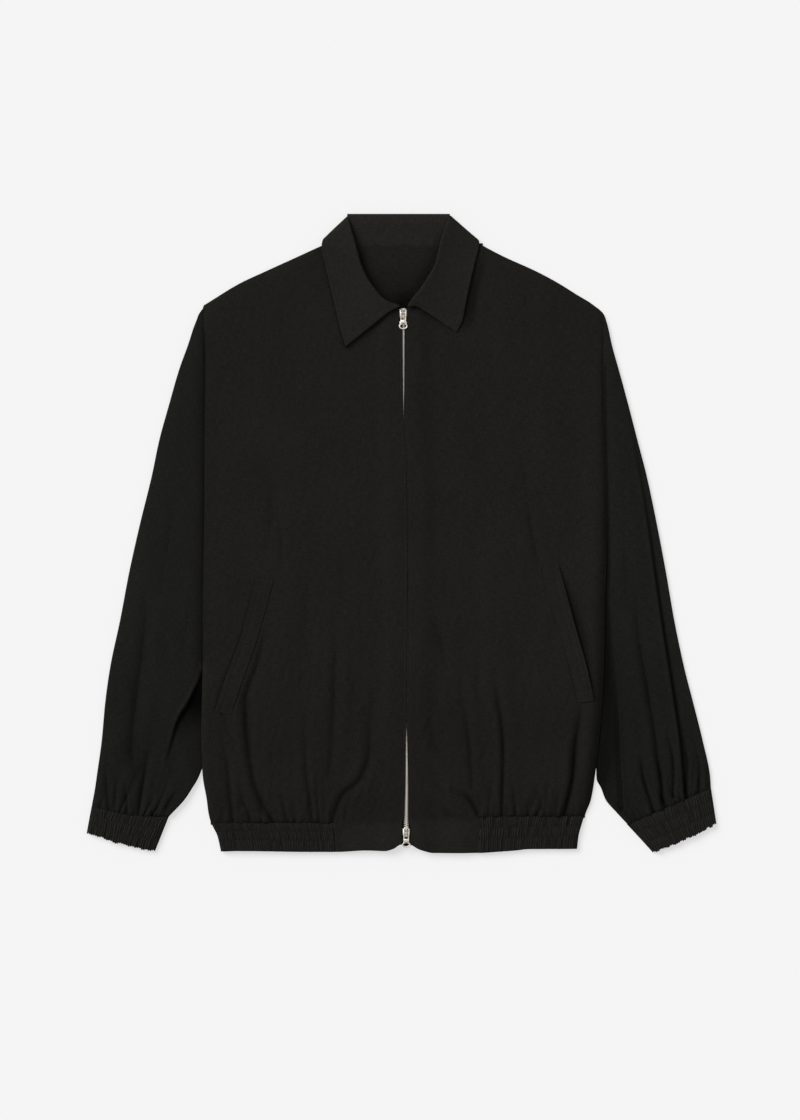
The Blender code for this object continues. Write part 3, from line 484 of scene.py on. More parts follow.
def relief(x, y, piece):
    """How far the creases and laps of a piece lift or sink its cloth."""
    z = np.zeros(x.shape)
    for crease, away, along in rows_of(piece, CREASES, x, y):
        depth, width = 0.62 * spread(crease.depth, along), spread(crease.width, along)
        away = away - 0.25 * width
        valley = 0.42 * bell(away, width) + 0.62 * np.exp(-abs(away) / (0.26 * width))
        z -= depth * valley
        z += 0.5 * depth * bell(away - crease.ridge * 1.25 * width, 0.9 * width)
        z += 0.12 * depth * bell(away + crease.ridge * 1.6 * width, 1.2 * width)
    for lap, away, along in rows_of(piece, LAPS, x, y):
        away = away * lap.low
        drop = spread(lap.drop, along)
        z -= drop * bell(np.maximum(away, 0), 50) * (1 + np.tanh(away / 0.9)) / 2
        z += drop * (0.3 * bell(away + 2.6, 2.4) - 0.35 * bell(away - 2.5, 2.0))
    return z


def shades(x, y, piece):
    """Painted shade: how much darker a piece's cloth is painted at each place, from 0 to 1: down
    its creases, beside its laps, and in its SHADES."""
    left = np.ones(np.shape(x))
    # Painted shade down each crease.
    for crease, away, along in rows_of(piece, CREASES, x, y):
        amount = np.clip(0.1 * spread(crease.depth, along), 0, 0.5)
        reach = 0.42 * spread(crease.width, along) + 0.6
        left = left * (1 - amount * np.exp(-abs(away / reach) ** 1.5))
    # Painted shade beside each lap, wider on its lower side.
    for lap, away, along in rows_of(piece, LAPS, x, y):
        away = away * lap.low
        amount = np.clip(0.17 * spread(lap.drop, along), 0, 0.5)
        left = left * (1 - amount * np.exp(-abs(np.where(away > 0, away / 3.6, away / 1.2)) ** 1.6))
    # Painted shade and painted shadow along each of the SHADES.
    for shade, away, along in rows_of(piece, SHADES, x, y):
        if shade.side:
            away = away * shade.side
            away = np.where(away < -0.8, 1e3, np.maximum(away, 0))
        reach = spread(shade.reach, along)
        left = left * (1 - spread(shade.amount, along) * np.exp(-abs(away / reach) ** shade.power))
    return 1 - left


def unrest(x, y, seed, reach, height, stretch=0.4):
    """The slow unevenness of cloth smoothed out by hand. `stretch` under 1 draws it out along Y."""
    rng = np.random.default_rng(seed)
    x, y = np.broadcast_arrays(x, y)
    z = np.zeros(x.shape)
    for _ in range(16):
        turn, phase = rng.uniform(0, 2 * pi, 2)
        pitch = 2 * pi / (reach * rng.uniform(0.5, 1.8))
        z += np.sin(pitch * (x * cos(turn) + stretch * y * sin(turn)) + phase)
    return height * z / 4


def crumples(x, y, seed, box, count, depth=0.45):
    """Short slight creases scattered over an area, most of them nearly upright."""
    rng = np.random.default_rng(seed)
    z = np.zeros(x.shape)
    for _ in range(count):
        at = np.array((rng.uniform(box[0], box[1]), rng.uniform(box[2], box[3])))
        half = rng.uniform(4, 16)
        turn = rng.normal(0, 0.45)
        way = half * np.array((sin(turn), cos(turn)))
        away, along = beside(x, y, (at + way, at - way))
        wide = rng.uniform(1.6, 3.4)
        tall = depth * rng.uniform(0.3, 1) * np.sin(pi * np.clip(along, 0, 1)) ** 0.7
        z += tall * (bell(away + wide, wide) - bell(away - wide, wide))
    return z


def gathers(across, above, seed, ends, spacing=9.0, height=0.9, reach=34.0, slant=1.0):
    """Small folds that a gathered seam throws up, each a sharp valley between round shoulders:
    `across` runs along the seam and `above` away from it."""
    rng = np.random.default_rng(seed)
    across, above = np.broadcast_arrays(across, above)
    z = np.zeros(across.shape)
    at = ends[0] + spacing * 0.4
    above = np.clip(above, 0, None)
    while at < ends[1]:
        tall = height * rng.uniform(0.35, 1.4)
        long = reach * rng.uniform(0.25, 1.2) ** 1.5
        wide = spacing * rng.uniform(0.28, 0.42)
        lean, bow = slant * rng.uniform(-0.28, 0.28), slant * rng.uniform(-0.004, 0.004)
        width = wide * (1 + above / long)
        away = abs(across - at - lean * above - bow * above**2)
        fold = 0.6 * bell(away - 1.5 * width, width) - np.exp(-away / (0.45 * width))
        z += tall * np.exp(-(above / long) ** 1.6) * fold
        at += spacing * rng.uniform(0.6, 1.5)
    return z


def hem_folds(x, above, side):
    """The folds that the gathered band throws up on a front, `above` its seam."""
    ends = by(side, (-232, JOIN_X["right"] + 6), (JOIN_X["left"] - 6, 220))
    seed = by(side, 21, 22)
    folds = gathers(x, above, seed, ends) + gathers(x, above, seed + 10, ends, 4.2, 0.5, 9.0)
    return np.where(above >= 0, folds, 0)


def valleys(folds, deepest=0.9, amount=0.3):
    """Painted shade: how much darker the valleys between small folds are painted."""
    return amount * np.clip(-folds / deepest, 0, 1)


def lower_body(y):
    """How much darker the body is towards its hem."""
    return LOWER_SHADE * ease((-150 - y) / 90)


def neck_lift(x, y):
    """How far the body lies above the surface over the part of the collar that is folded under."""
    return 1.9 * ease((y - 292) / 26) * ease((128 - abs(x + 2)) / 26)


def front_top(x, y, side):
    """Upper face of a front."""
    from_zip = abs(x - read(ZIP, "x", y))
    near_zip = 1 - ease((from_zip - 15) / 22)
    z = FRONT_TOP + 2.2 * near_zip * (1 - ease((y - 285) / 25))
    z += 3.0 * bell(y + 312, 30) * ease(from_zip / 60) + relief(x, y, "front_" + side)
    seed = by(side, 3, 4)
    low = by(side, (-225, -25, -345, -150), (20, 225, -345, -120))
    high = by(side, (-225, -15, -150, 220), (15, 225, -120, 220))
    z += unrest(x, y, seed, 46, 0.32) + unrest(x, y, seed + 2, 15, 0.12)
    z += crumples(x, y, seed + 4, low, 70) + crumples(x, y, seed + 6, high, 60, 0.22)
    # It falls away towards its side seam and its shoulder seam.
    shoulder = BODY["y"] > SIDE_TOP_Y + 3
    order = np.argsort(BODY[side][shoulder])
    line = smooth(x, BODY[side][shoulder][order], BODY["y"][shoulder][order])
    at_side = abs(x - read(BODY, side, np.minimum(y, SIDE_TOP_Y)))
    at_shoulder = np.maximum(line - y, 0) * 0.9
    z += 1.1 * np.exp(-at_side / 14) * ease((SIDE_TOP_Y - y) / 60)
    turn = 2.6
    if side == "left":
        turn = 4.0 + 2.0 * ease((40 - y) / 120)
        z += 2.8 * bell(at_side - 10, 12) * ease((80 - y) / 130) * ease((y + 346) / 60)
    seam = SEAM_TOP + neck_lift(x, y)
    rise = (1 - np.exp(-at_side / turn)) * (1 - np.exp(-at_shoulder / 8))
    return seam + np.maximum(z - seam, -1.2) * rise


def feed(tree, socket, value):
    """Gives a socket a value or another node's output."""
    if isinstance(value, bpy.types.NodeSocket):
        tree.links.new(value, socket)
    else:
        socket.default_value = value


def wire(tree, made, values):
    """Sets up a node. Small-letter names are its settings and capital ones its sockets."""
    for key, value in values.items():
        if key[0].islower():
            setattr(made, key, value)
        else:
            feed(tree, made.inputs[key.replace("_", " ")], value)
    return made


def node(tree, kind, result=0, **values):
    """One output of a new shader node."""
    return wire(tree, tree.nodes.new("ShaderNode" + kind), values).outputs[result]


def maths(tree, operation, *values):
    made = tree.nodes.new("ShaderNodeMath")
    made.operation = operation
    for socket, value in zip(made.inputs, values):
        feed(tree, socket, value)
    return made.outputs[0]


def mix(tree, factor, first, second, blend_type="MIX"):
    return node(tree, "Mix", "Result", data_type="RGBA", blend_type=blend_type, Factor=factor,
                A=first, B=second)


def node_group(name, given, build):
    """A group of shader nodes. `given` holds its inputs' values (None for a vector), and `build`
    makes its nodes and returns its outputs by name."""
    group = bpy.data.node_groups.new(name, "ShaderNodeTree")
    add = group.interface.new_socket
    for socket, value in given.items():
        kind = "NodeSocketVector" if value is None else "NodeSocketFloat"
        made = add(name=socket, in_out="INPUT", socket_type=kind)
        if value is not None:
            made.default_value = value
    results = build(group, group.nodes.new("NodeGroupInput").outputs)
    for socket in results:
        add(name=socket, in_out="OUTPUT", socket_type="NodeSocketFloat")
    wire(group, group.nodes.new("NodeGroupOutput"), results)
    return group


def weave(tree, given):
    """Threads over and under each other, with slubs: long soft streaks along each set of them."""
    def times(first, second):
        return maths(tree, "MULTIPLY", first, second)

    def plus(first, second):
        return maths(tree, "ADD", first, second)

    count = times(given["Threads per metre"], pi)
    parts = wire(tree, tree.nodes.new("ShaderNodeSeparateXYZ"), {"Vector": given["Cut"]})
    over = times(*(maths(tree, "SINE", times(parts.outputs[axis], count)) for axis in "XY"))
    streaks = []
    for scale in ((700, 140, 1), (140, 700, 1)):
        stretched = node(tree, "Mapping", Vector=given["Cut"], Scale=scale)
        streaks.append(node(tree, "TexNoise", "Fac", Vector=stretched, Scale=1.0, Detail=3.0,
                            Roughness=0.65))
    slub = times(maths(tree, "SUBTRACT", plus(*streaks), 1.0), given["Slubs"])
    return {name: plus(plus(times(over, share), slub), 0.5)
            for name, share in (("Tint", 0.12), ("Height", 0.35))}


def handling(tree, given):
    """Broad, faint patches where cloth or metal is a little paler or duller."""
    return {"Patches": node(tree, "TexNoise", "Fac", Vector=given["Place"], Scale=given["Scale"],
                            Detail=4.0, Roughness=0.55)}


WEAVE = node_group("plain_weave", {"Cut": None, "Threads per metre": 2200, "Slubs": 0.5}, weave)
HANDLING = node_group("handling", {"Place": None, "Scale": 14}, handling)


def new_material(name):
    made = bpy.data.materials.new(name)
    made.use_nodes = True
    return made, made.node_tree, made.node_tree.nodes["Principled BSDF"]


def patches(tree, low, high, **scale):
    """A value that wanders between low and high from place to place."""
    place = node(tree, "TexCoord", "Object")
    spots = node(tree, "Group", node_tree=HANDLING, Place=place, **scale)
    return node(tree, "MapRange", Value=spots, From_Min=0.3, From_Max=0.7, To_Min=low, To_Max=high)


def cloth_material(name, dark, light, slubs=1.45, threads=2200):
    """Woven cloth with a soft sheen: two tones mixed by its threads, and painted shade where it
    lies deep.
    """
    made, tree, shader = new_material(name)
    woven = wire(tree, tree.nodes.new("ShaderNodeGroup"), {
        "node_tree": WEAVE, "Cut": node(tree, "UVMap", uv_map="cut"),
        "Threads per metre": threads, "Slubs": slubs})
    # The depth attribute holds painted shade, and painted light where it is below 0; lit is what it
    # leaves of the colour.
    painted_shade = node(tree, "Attribute", "Fac", attribute_name="depth")
    lit = node(tree, "MapRange", clamp=False, Value=painted_shade, To_Min=1.0, To_Max=0.0)
    colour = mix(tree, woven.outputs["Tint"], (*dark, 1), (*light, 1))
    for share in (patches(tree, 0.94, 1.06), lit):
        colour = mix(tree, 1.0, colour, share, "MULTIPLY")
    bump = node(tree, "Bump", Height=woven.outputs["Height"], Strength=0.25, Distance=0.0003)
    wire(tree, shader, {
        "Base Color": colour, "Normal": bump, "Roughness": 0.85, "Specular IOR Level": 0.02,
        "Sheen Weight": 0.008, "Sheen Roughness": 0.45, "Sheen Tint": (1, 0.98, 0.94, 1)})
    return made


def metal_material(name, colour, roughness):
    """Plated metal, a little dulled in patches."""
    made, tree, shader = new_material(name)
    dull = patches(tree, roughness * 0.7, roughness * 1.5, Scale=600)
    wire(tree, shader, {"Base Color": (*colour, 1), "Metallic": 1.0, "Roughness": dull})
    return made


def thread_material(name, dark, light):
    """Sewing thread: twisted, so lighter and darker along each stitch."""
    made, tree, shader = new_material(name)
    place = node(tree, "TexCoord", "Object")
    twist = node(tree, "TexNoise", "Fac", Vector=place, Scale=1500.0, Detail=2.0)
    colour = mix(tree, twist, (*dark, 1), (*light, 1))
    wire(tree, shader, {"Base Color": colour, "Roughness": 0.6, "Specular IOR Level": 0.15})
    return made


# Lit and shaded copies of one black cloth: the sleeve copy is darker (painted shade), and the
# collar and stand copies are lighter (painted light).
BLACK, SHADED_SLEEVE_BLACK, LIT_COLLAR_BLACK, LIT_STAND_BLACK, BAND_BLACK = (
    cloth_material(name + "_plain_weave", dark, light) for name, dark, light in (
        ("black", (0.0071, 0.0068, 0.0058), (0.0147, 0.0139, 0.0122)),
        ("sleeve", (0.0065, 0.0064, 0.0058), (0.0135, 0.0134, 0.0121)),
        ("collar", (0.0088, 0.0083, 0.0073), (0.0183, 0.0173, 0.0150)),
        ("stand", (0.0098, 0.0092, 0.0084), (0.0203, 0.0191, 0.0175)),
        ("ruched", (0.0085, 0.0082, 0.0074), (0.0179, 0.0172, 0.0157)),
    ))
TAPE_BLACK = cloth_material("tape_twill", (0.008, 0.008, 0.008), (0.018, 0.018, 0.017), 0.1, 1600)
THREAD = thread_material("black_thread", (0.006, 0.006, 0.005), (0.022, 0.021, 0.018))
NICKEL = metal_material("zip_nickel", (0.86, 0.81, 0.73), 0.4)


def place(name, data, **values):
    """A mesh, a lamp or a camera as an object of the scene."""
    made = bpy.data.objects.new(name, data)
    for key, value in values.items():
        setattr(made, key, value)
    bpy.context.scene.collection.objects.link(made)
    return made


def put(name, mesh, material):
    """A mesh of one material as an object of the scene."""
    mesh.materials.append(material)
    return place(name, mesh)


BENDS = (35, 70, 110, 145, 180)     # degrees round a turned edge
TURNED = len(BENDS) + 2             # the rows that it adds to a sheet


def roll_under(points, cut, side, radius=0.65, tuck=6.0, way=None):
    """Turns one side of a sheet under: a half circle and a strip beneath. `side` is first_row,
    last_row, first_column or last_column, and `way` the way out if it isn't square to the side."""
    axes = (1, 0, 2) if side.endswith("column") else (0, 1, 2)
    order = slice(None, None, -1 if side.startswith("last") else 1)
    p, c = points.transpose(axes)[order], cut.transpose(axes)[order]
    edge = p[0]
    along = np.gradient(edge[:, :2], axis=0)
    out = unit(np.stack([along[:, 1], -along[:, 0], 0 * along[:, 0]], axis=1))
    out *= -np.sign(np.sum(out * (p[1] - p[0]), axis=1, keepdims=True) + 1e-12)
    if way:
        out[:, :2] = np.array(way) / hypot(*way)
    strips = np.array((0.5, 1.0))
    extra = [bent(edge, out, UP, radius, degrees) for degrees in BENDS]
    extra += [edge - out * tuck * share - 2 * radius * UP for share in strips]
    reach = [*radius * np.radians(BENDS), *radius * pi + tuck * strips]
    extra_cut = [c[0] + unit(c[0] - c[1]) * far for far in reach]
    p, c = np.concatenate([extra[::-1], p]), np.concatenate([extra_cut[::-1], c])
    return p[order].transpose(axes), c[order].transpose(axes)


def cloth_sheet(name, points, cut, material, ring=False, keep=None, ply=CLOTH, down=False,
                shade=None):
    """A thin shell of cloth on a grid of points (rows, columns, 3), its cut in the UV map. `shade`
    is its painted shade, how much darker it is: a grid, or a function of x and y."""
    rows, columns = points.shape[:2]
    points = points.copy()
    points[..., 2] = np.maximum(points[..., 2], 0.02 if down or ring else ply + 0.05)
    i, j = np.meshgrid(np.arange(rows - 1), np.arange(columns if ring else columns - 1),
                       indexing="ij")
    if keep is not None:
        i, j = i[keep], j[keep]
    i, j = i.ravel(), j.ravel()
    far = (j + 1) % columns
    faces = np.stack([i * columns + j, i * columns + far, (i + 1) * columns + far,
                      (i + 1) * columns + j], axis=1)
    uv = np.stack([cut[i, j], cut[i, j + 1], cut[i + 1, j + 1], cut[i + 1, j]], axis=1)
    flat = points.reshape(-1, 3)
    a, b, d = flat[faces[:, 0]], flat[faces[:, 1]], flat[faces[:, 3]]
    normal = np.cross(b - a, d - a)
    if ring:
        middle = np.repeat(points.mean(axis=1), columns, axis=0)
        turned = np.sum((normal * (a - middle[faces[:, 0]]))[:, 2]) < 0
    else:
        turned = (normal[:, 2].sum() < 0) != down
    if turned:
        faces, uv = faces[:, ::-1], uv[:, ::-1]
    used = np.unique(faces)
    again = np.full(rows * columns, -1)
    again[used] = np.arange(used.size)
    mesh = bpy.data.meshes.new(name)
    mesh.from_pydata((flat[used] * MM).tolist(), [], again[faces].tolist())
    layer = mesh.uv_layers.new(name="cut")
    layer.data.foreach_set("uv", (np.ascontiguousarray(uv) * MM).ravel())
    if shade is not None:
        # Painted shade, kept in the depth attribute.
        painted_shade = shade(flat[:, 0], flat[:, 1]) if callable(shade) else np.ravel(shade)
        kept = mesh.attributes.new("depth", "FLOAT", "POINT")
        kept.data.foreach_set("value", np.clip(painted_shade, -0.3, 0.9)[used].astype(np.float32))
    mesh.shade_smooth()
    made = put(name, mesh, material)
    wall = made.modifiers.new("ply", "SOLIDIFY")
    wall.thickness = ply * MM
    wall.offset = -1
    wall.use_even_offset = False
    return made


def flat_cut(points):
    """The cut of a sheet that lies nearly flat: its own X and Y."""
    return points[..., :2].copy()


def add_piece(piece, solid, body="jacket", flat=None, area=None):
    """Attaches a piece to its body and hides the solid it stands for. Its flat size and area are
    not used.
    """
    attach(piece, body)
    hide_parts(solid)


def front(side):
    """A front with its plain hem, turned under along the zip and the hem."""
    sign, join_x, join_share = SIGN[side], JOIN_X[side], JOIN_SHARE[side]
    share = spaced((0, 4.2, 0.6), (4.2, 9, 1.2), (9, 229, 1.7), (229, FRONT_WIDE, 0.9))[::-1]
    share = 1 - share / FRONT_WIDE
    join = np.argmin(abs(share - join_share))
    share[join] = join_share
    seam_level, edge_level = read(HEM, "seam", join_x), read(HEM, "edge", join_x)
    hem = spaced((0, 5.5, 1.1), (5.5, 8.5, 0.6), (8.5, HEM_DEEP, 1.8)) / HEM_DEEP
    above = spaced((0, 0.5, 0.5), (0.5, 40, 1.7), (40, 170, 2.8),
                   (170, FRONT_END_Y - seam_level, 4.2))[1:]
    rows = np.concatenate([edge_level + (seam_level - edge_level) * hem, seam_level + above])
    outer_x = read(BODY, side, rows)
    inner_x = read(ZIP, "x", rows) + sign * (read(ZIP, "gap", rows) - 0.25 + ZIP_ROLL)
    neck = rows > NECKLINE["y"][0]
    inner_x[neck] = read(NECKLINE, side, rows[neck])
    x = outer_x[:, None] + (inner_x - outer_x)[:, None] * share
    y = np.repeat(rows[:, None], share.size, axis=1)
    seam = read(HEM, "seam", x) + BAND_SEAM
    edge = read(HEM, "edge", x) + 0.6
    low = hem.size
    y[:low] = edge[:low] + (seam[:low] - edge[:low]) * hem[:, None]
    y[low:] += (seam[low:] - seam_level) * (1 - ease(above / 40))[:, None]
    ragged = unrest(x[low:], 0, 25, 13, 1.0, 0) * (share < join_share)
    y[low:] -= ragged * np.exp(-above / 9)[:, None]
    over_band = y - (read(HEM, "seam", x) + BAND_SEAM)
    on_band = (share <= join_share) * ease((join_share - share) * 20)
    z = front_top(x, y, side)
    z += hem_folds(x, over_band, side) * ease(abs(x - read(BODY, side, y)) / 12)
    z -= 0.9 * bell(np.maximum(over_band, 0), 2.6) * on_band
    z += 2.0 * ease((seam - BAND_SEAM - y) / 30) * ease((share - join_share) * 8)
    # Stitch rows sink along the zip edge and above the hem.
    z -= 0.28 * bell(abs(x - inner_x[:, None]) - STITCH_FROM_ZIP, 0.6) * (y < 262)
    z -= 0.3 * bell(y - edge - HEM_STITCH, 0.7) * (share > join_share)
    points = grid(x, y, z)
    cut = flat_cut(points)
    # Above the band the cloth runs on behind it into the seam.
    points[low - 1, :join] = points[low, :join] - (0, 3.6, 2.0)
    grown = roll_under(points, cut, "last_column", radius=ZIP_ROLL, tuck=9.0)
    grown = roll_under(*grown, "first_column", radius=0.8, tuck=3.0)
    grown = roll_under(*grown, "first_row", tuck=7.0)
    keep = np.ones((rows.size - 1 + TURNED, share.size - 1 + 2 * TURNED), bool)
    keep[: low - 1 + TURNED, : join + TURNED] = False

    # Painted shade along its creases, laps and SHADES and in the valleys of the folds above the
    # band, darker towards the hem, and painted light on the plain hem.
    def shade(x, y):
        above = y - read(HEM, "seam", x) - BAND_SEAM
        plain_hem = ease((2 - above) / 8) * ease(sign * (join_x - x) / 26 + 0.25)
        folds = valleys(hem_folds(x, above, side)) * ease(sign * (x - join_x) / 10 + 1)
        darker = shades(x, y, "front_" + side) + folds + lower_body(y)
        return darker - by(side, 0.16, 0.21) * plain_hem

    piece = cloth_sheet("front_panel_" + side, *grown, BLACK, keep=keep, shade=shade)
    add_piece(piece, "front_" + side, flat=(262, 745))


def back():
    """The back, flat on the surface."""
    top = NECK_SEAM_Y - GAP
    seam_level = HEM["seam"].min()
    rows = seam_level + spaced((0, 40, 2.4), (40, top - seam_level, 6.5))
    share = spaced((0, 8, 1.6), (8, 472, 4.2), (472, BACK_WIDE, 1.6)) / BACK_WIDE
    right, left = (read(BODY, side, rows)[:, None] for side in SIDES)
    x = right + (left - right) * share
    y = np.repeat(rows[:, None], share.size, axis=1)
    above = rows - seam_level
    y += (read(HEM, "seam", x) + BAND_SEAM - seam_level) * (1 - ease(above / 40))[:, None]
    over_band = y - read(HEM, "seam", x) - BAND_SEAM
    lifted = gathers(x, over_band, 41, (-232, 218), 11.0, 0.8, 60.0)
    lifted += gathers(x, over_band, 42, (-232, 218), 4.6, 0.35, 9.0)
    lifted += np.maximum(unrest(x, y, 43, 60, 0.45), 0)
    inside = ease(abs(x - right) / 10) * ease(abs(x - left) / 10)
    z = neck_lift(x, y) + np.clip(lifted, 0, 1.3) * inside * (1 - ease((y - 240) / 40))
    points = grid(x, y, z)
    # The seam allowances: over the band at the hem and under the stand at the neck.
    over, under = points[:1] - (0, 4, -2.0), points[-1:] + (0, 4, -0.1)
    points = np.concatenate([over, points, under])
    # Painted shade inside the neck, beside the collar's roll.
    piece = cloth_sheet("back_panel", points, flat_cut(points), BLACK, down=True,
                        shade=lambda x, y: shades(x, y, "back"))
    add_piece(piece, "back", flat=(486, 700))


def ring_points(inner, outer, top, low, step, under_step, turn=1.7):
    """A flattened tube of rings: round its inner fold, over the top, round the outer fold and back
    underneath, between the faces that `top` and `low` give."""
    width = np.linalg.norm(outer - inner, axis=1)
    run = width.max() - 2 * turn
    at_turn = (turn / np.maximum(width, 4 * turn))[:, None]
    halves = []
    for sign, spacing, fold in ((1, step, (0, 25, 50, 70, 90)), (-1, under_step, (25, 50, 70, 90))):
        fold = np.radians(fold)
        corner = at_turn * (1 - np.cos(fold))
        main = at_turn + (1 - 2 * at_turn) * (spaced((0, run, spacing))[1:-1] / run)
        share = np.concatenate([corner, main, 1 - corner[:, ::-1]], axis=1)[:, ::sign, None]
        rise = np.concatenate([np.sin(fold), np.ones(main.shape[1]), np.sin(fold[::-1])])
        p = inner[:, None] + (outer - inner)[:, None] * share
        above, below = top(p), low(p)
        z = (above + below) / 2 + sign * (above - below) / 2 * rise
        halves.append(np.concatenate([p, z[..., None]], axis=2))
    return np.concatenate(halves, axis=1)


def tube_cut(points):
    """The cut of a tube: along each ring, and down the tube."""
    u = travelled(np.concatenate([points, points[:, :1]], axis=1), 1)
    return pair(u - u[:, -1:] / 4, travelled(points.mean(axis=1))[:, None])


def folded_cut(points, start, end):
    """The cut of a flattened tube: across and along its length, its underside laid out beyond the
    outer fold."""
    way = unit(end - start)
    closed = np.concatenate([points, points[:, :1]], axis=1)[..., :2] - start
    across = closed @ np.array((-way[1], way[0]))
    return pair(across[:, :1] + travelled(across[..., None], 1), closed @ way)


def sleeve(side):
    """A sleeve as a flattened tube, gathered into its cuff."""
    name, sign, seed, sag = "sleeve_" + side, SIGN[side], by(side, 51, 52), CUFFS[side]["sag"]
    cuff_in, cuff_out = np.array(CUFFS[side]["top"], float)
    step = spaced((0, 20, 3), (20, 540, 3.6), (540, SLEEVE_LENGTH, 2.1)) / SLEEVE_LENGTH
    outer_y, inner_y = (start + (end[1] + CUFF_SEAM - start) * step for start, end in (
        (SHOULDER_Y[side], cuff_out), (ARMHOLE_END_Y, cuff_in)))
    inner_x = read(BODY, side, inner_y) + sign * ARMHOLE_SEAM
    below = inner_y < SLEEVE_INNER["y"][-1]
    inner_x[below] = read(SLEEVE_INNER, side, inner_y[below]) - sign * 0.3
    outer_x = read(SLEEVE_OUTER, side, outer_y)
    outer_x[0] = read(BODY, side, SIDE_TOP_Y) + sign * (ARMHOLE_SEAM + 0.6)
    inner, outer = pair(inner_x, inner_y), pair(outer_x, outer_y)
    length = SLEEVE_LENGTH * (1 - step)[:, None]
    width = np.linalg.norm(outer - inner, axis=1)[:, None]
    dark = []

    def across_of(p):
        """Each point's distance from the inner fold, and the same fanned out above the cuff."""
        across = np.linalg.norm(p - inner[:, None], axis=2)
        return across, across / width * width[-1]

    def top(p):
        x, y = p[..., 0], p[..., 1]
        across, fan = across_of(p)
        from_body = abs(x - read(BODY, side, np.minimum(y, SIDE_TOP_Y)))
        bank, sunk = by(side, (9, 1.2), (13 + 9 * ease((-60 - y) / 160), 2.6))
        near_body = 1 - np.exp(-(from_body / bank) ** 1.7)
        near_fold = 1 - np.exp(-abs(x - read(SLEEVE_OUTER, side, y)) / 10)
        crown = SLEEVE_TOP - SLEEVE_EDGE + relief(x, y, name) + unrest(x, y, seed, 34, 0.3)
        crown = np.maximum(crown, -2.2) * near_body * near_fold
        # Beside the body the sleeve sinks into its shade.
        crown -= sunk * ease((ARMHOLE_END_Y + 60 - y) / 120) * np.exp(-from_body / 8)
        puckers = gathers(fan, length - 1, seed + 10, (4, 100), 9.0, 1.2, 44.0, 0.35)
        puckers += gathers(fan, length - 1, seed + 20, (2, 102), 4.4, 0.5, 9.0, 0.5)
        # Painted shade in the valleys of the puckers.
        dark.append(valleys(puckers, 1.1, 0.34))
        return SLEEVE_EDGE + crown + (puckers - 0.8 * bell(length, 2.4)) * ease(across / 8)

    def low(p):
        across, fan = across_of(p)
        folds = gathers(fan, length - 1, seed + 30, (4, 100), 10.0, 0.8, 45.0)
        return np.minimum(folds, 1.2) * ease(across / 12)

    points = ring_points(inner, outer, top, low, 2.0, 5.2)
    # The first rings follow the side of the body, and one more goes on under its edge.
    y, (in_x, in_y), (out_x, out_y) = points[..., 1], inner[0], outer[0]
    start_x = out_x + (in_x - out_x) * (out_y - y) / (out_y - in_y)
    bow = read(BODY, side, y) + sign * ARMHOLE_SEAM - start_x
    bow = np.where((y > in_y) & (y < out_y), bow, 0)
    points[..., 0] += bow * bell(points[..., 0] - start_x, 25)
    allowance, tucked = points[:1].copy(), points[-1:].copy()
    allowance[..., 0] -= sign * 3.5
    allowance[..., 2] = 1.0 + (allowance[..., 2] - 1.0) * 0.3
    ends = [np.mean(CUFFS[side][end], axis=0) for end in ("top", "end")]
    middle = tucked[..., :2].mean(axis=1, keepdims=True)
    tucked[..., :2] = middle * 0.03 + tucked[..., :2] * 0.97 + (ends[1] - ends[0]) / 40 * 3.6
    tucked[..., 2] = 2.4 + (tucked[..., 2] - 2.4) * 0.35
    points = np.concatenate([allowance, points, tucked])
    length = np.concatenate([[SLEEVE_LENGTH], length[:, 0], [0]])[:, None]
    share = (points[..., 0] - cuff_in[0]) / (cuff_out[0] - cuff_in[0])
    points[..., 1] -= sag * np.sin(pi * np.clip(share, 0, 1)) * bell(length, 26)
    points = points[::-1]
    dark = np.pad(np.concatenate(dark, axis=1), ((1, 1), (0, 0)), "edge")[::-1]
    x, y = points[..., 0], points[..., 1]
    # Painted shade beside the body, beside the laps and down the creases, and more of it towards
    # the cuff.
    dark = dark + shades(x, y, name) + 0.08 * ease((-80 - y) / 200)
    cut = folded_cut(points, (inner[0] + outer[0]) / 2, (cuff_in + cuff_out) / 2)
    piece = cloth_sheet("sleeve_tube_" + side, points, cut, SHADED_SLEEVE_BLACK, ring=True, shade=dark)
    add_piece(piece, name, flat=(280, 620), area=SLEEVE_AREA[side])


def ruches(across, down, seed, pitch, rows, height):
    """Ruching between stitch rows: ridges along the band, drawn in at each row and the seam.
    `across` runs along the band, `down` from its seam, and `rows` are the rows' places."""
    rng = np.random.default_rng(seed)

    def wander(reach, amount):
        return unrest(across, 0 * across, rng.integers(1000), pitch * reach, amount, 0)

    z = np.zeros(np.shape(across))
    for k in range(len(rows) - 1):
        last = k == len(rows) - 2
        t = (down - rows[k]) / (rows[k + 1] - rows[k])
        inside = (t >= 0) & ((t <= 1) | last)
        t = np.clip(t, 0, 1)
        drift, slant = wander(6, pitch * 0.35), wander(9, pitch * 0.3)
        phase = 2 * pi * (across + drift + slant * (t - 0.5)) / pitch + rng.uniform(0, 6)
        tall = height * (0.75 + 0.5 * wander(2.5, 0.8)) * abs(np.cos(phase / 2)) ** 0.8
        arch = np.sin(pi * (np.minimum(t, 0.55) if last else t))
        z = np.where(inside, tall * (0.3 + 0.7 * arch**0.5), z)
    return z


def stitch_dips(down, rows, depth=0.25):
    return -sum(depth * bell(down - row, 0.9) for row in rows)


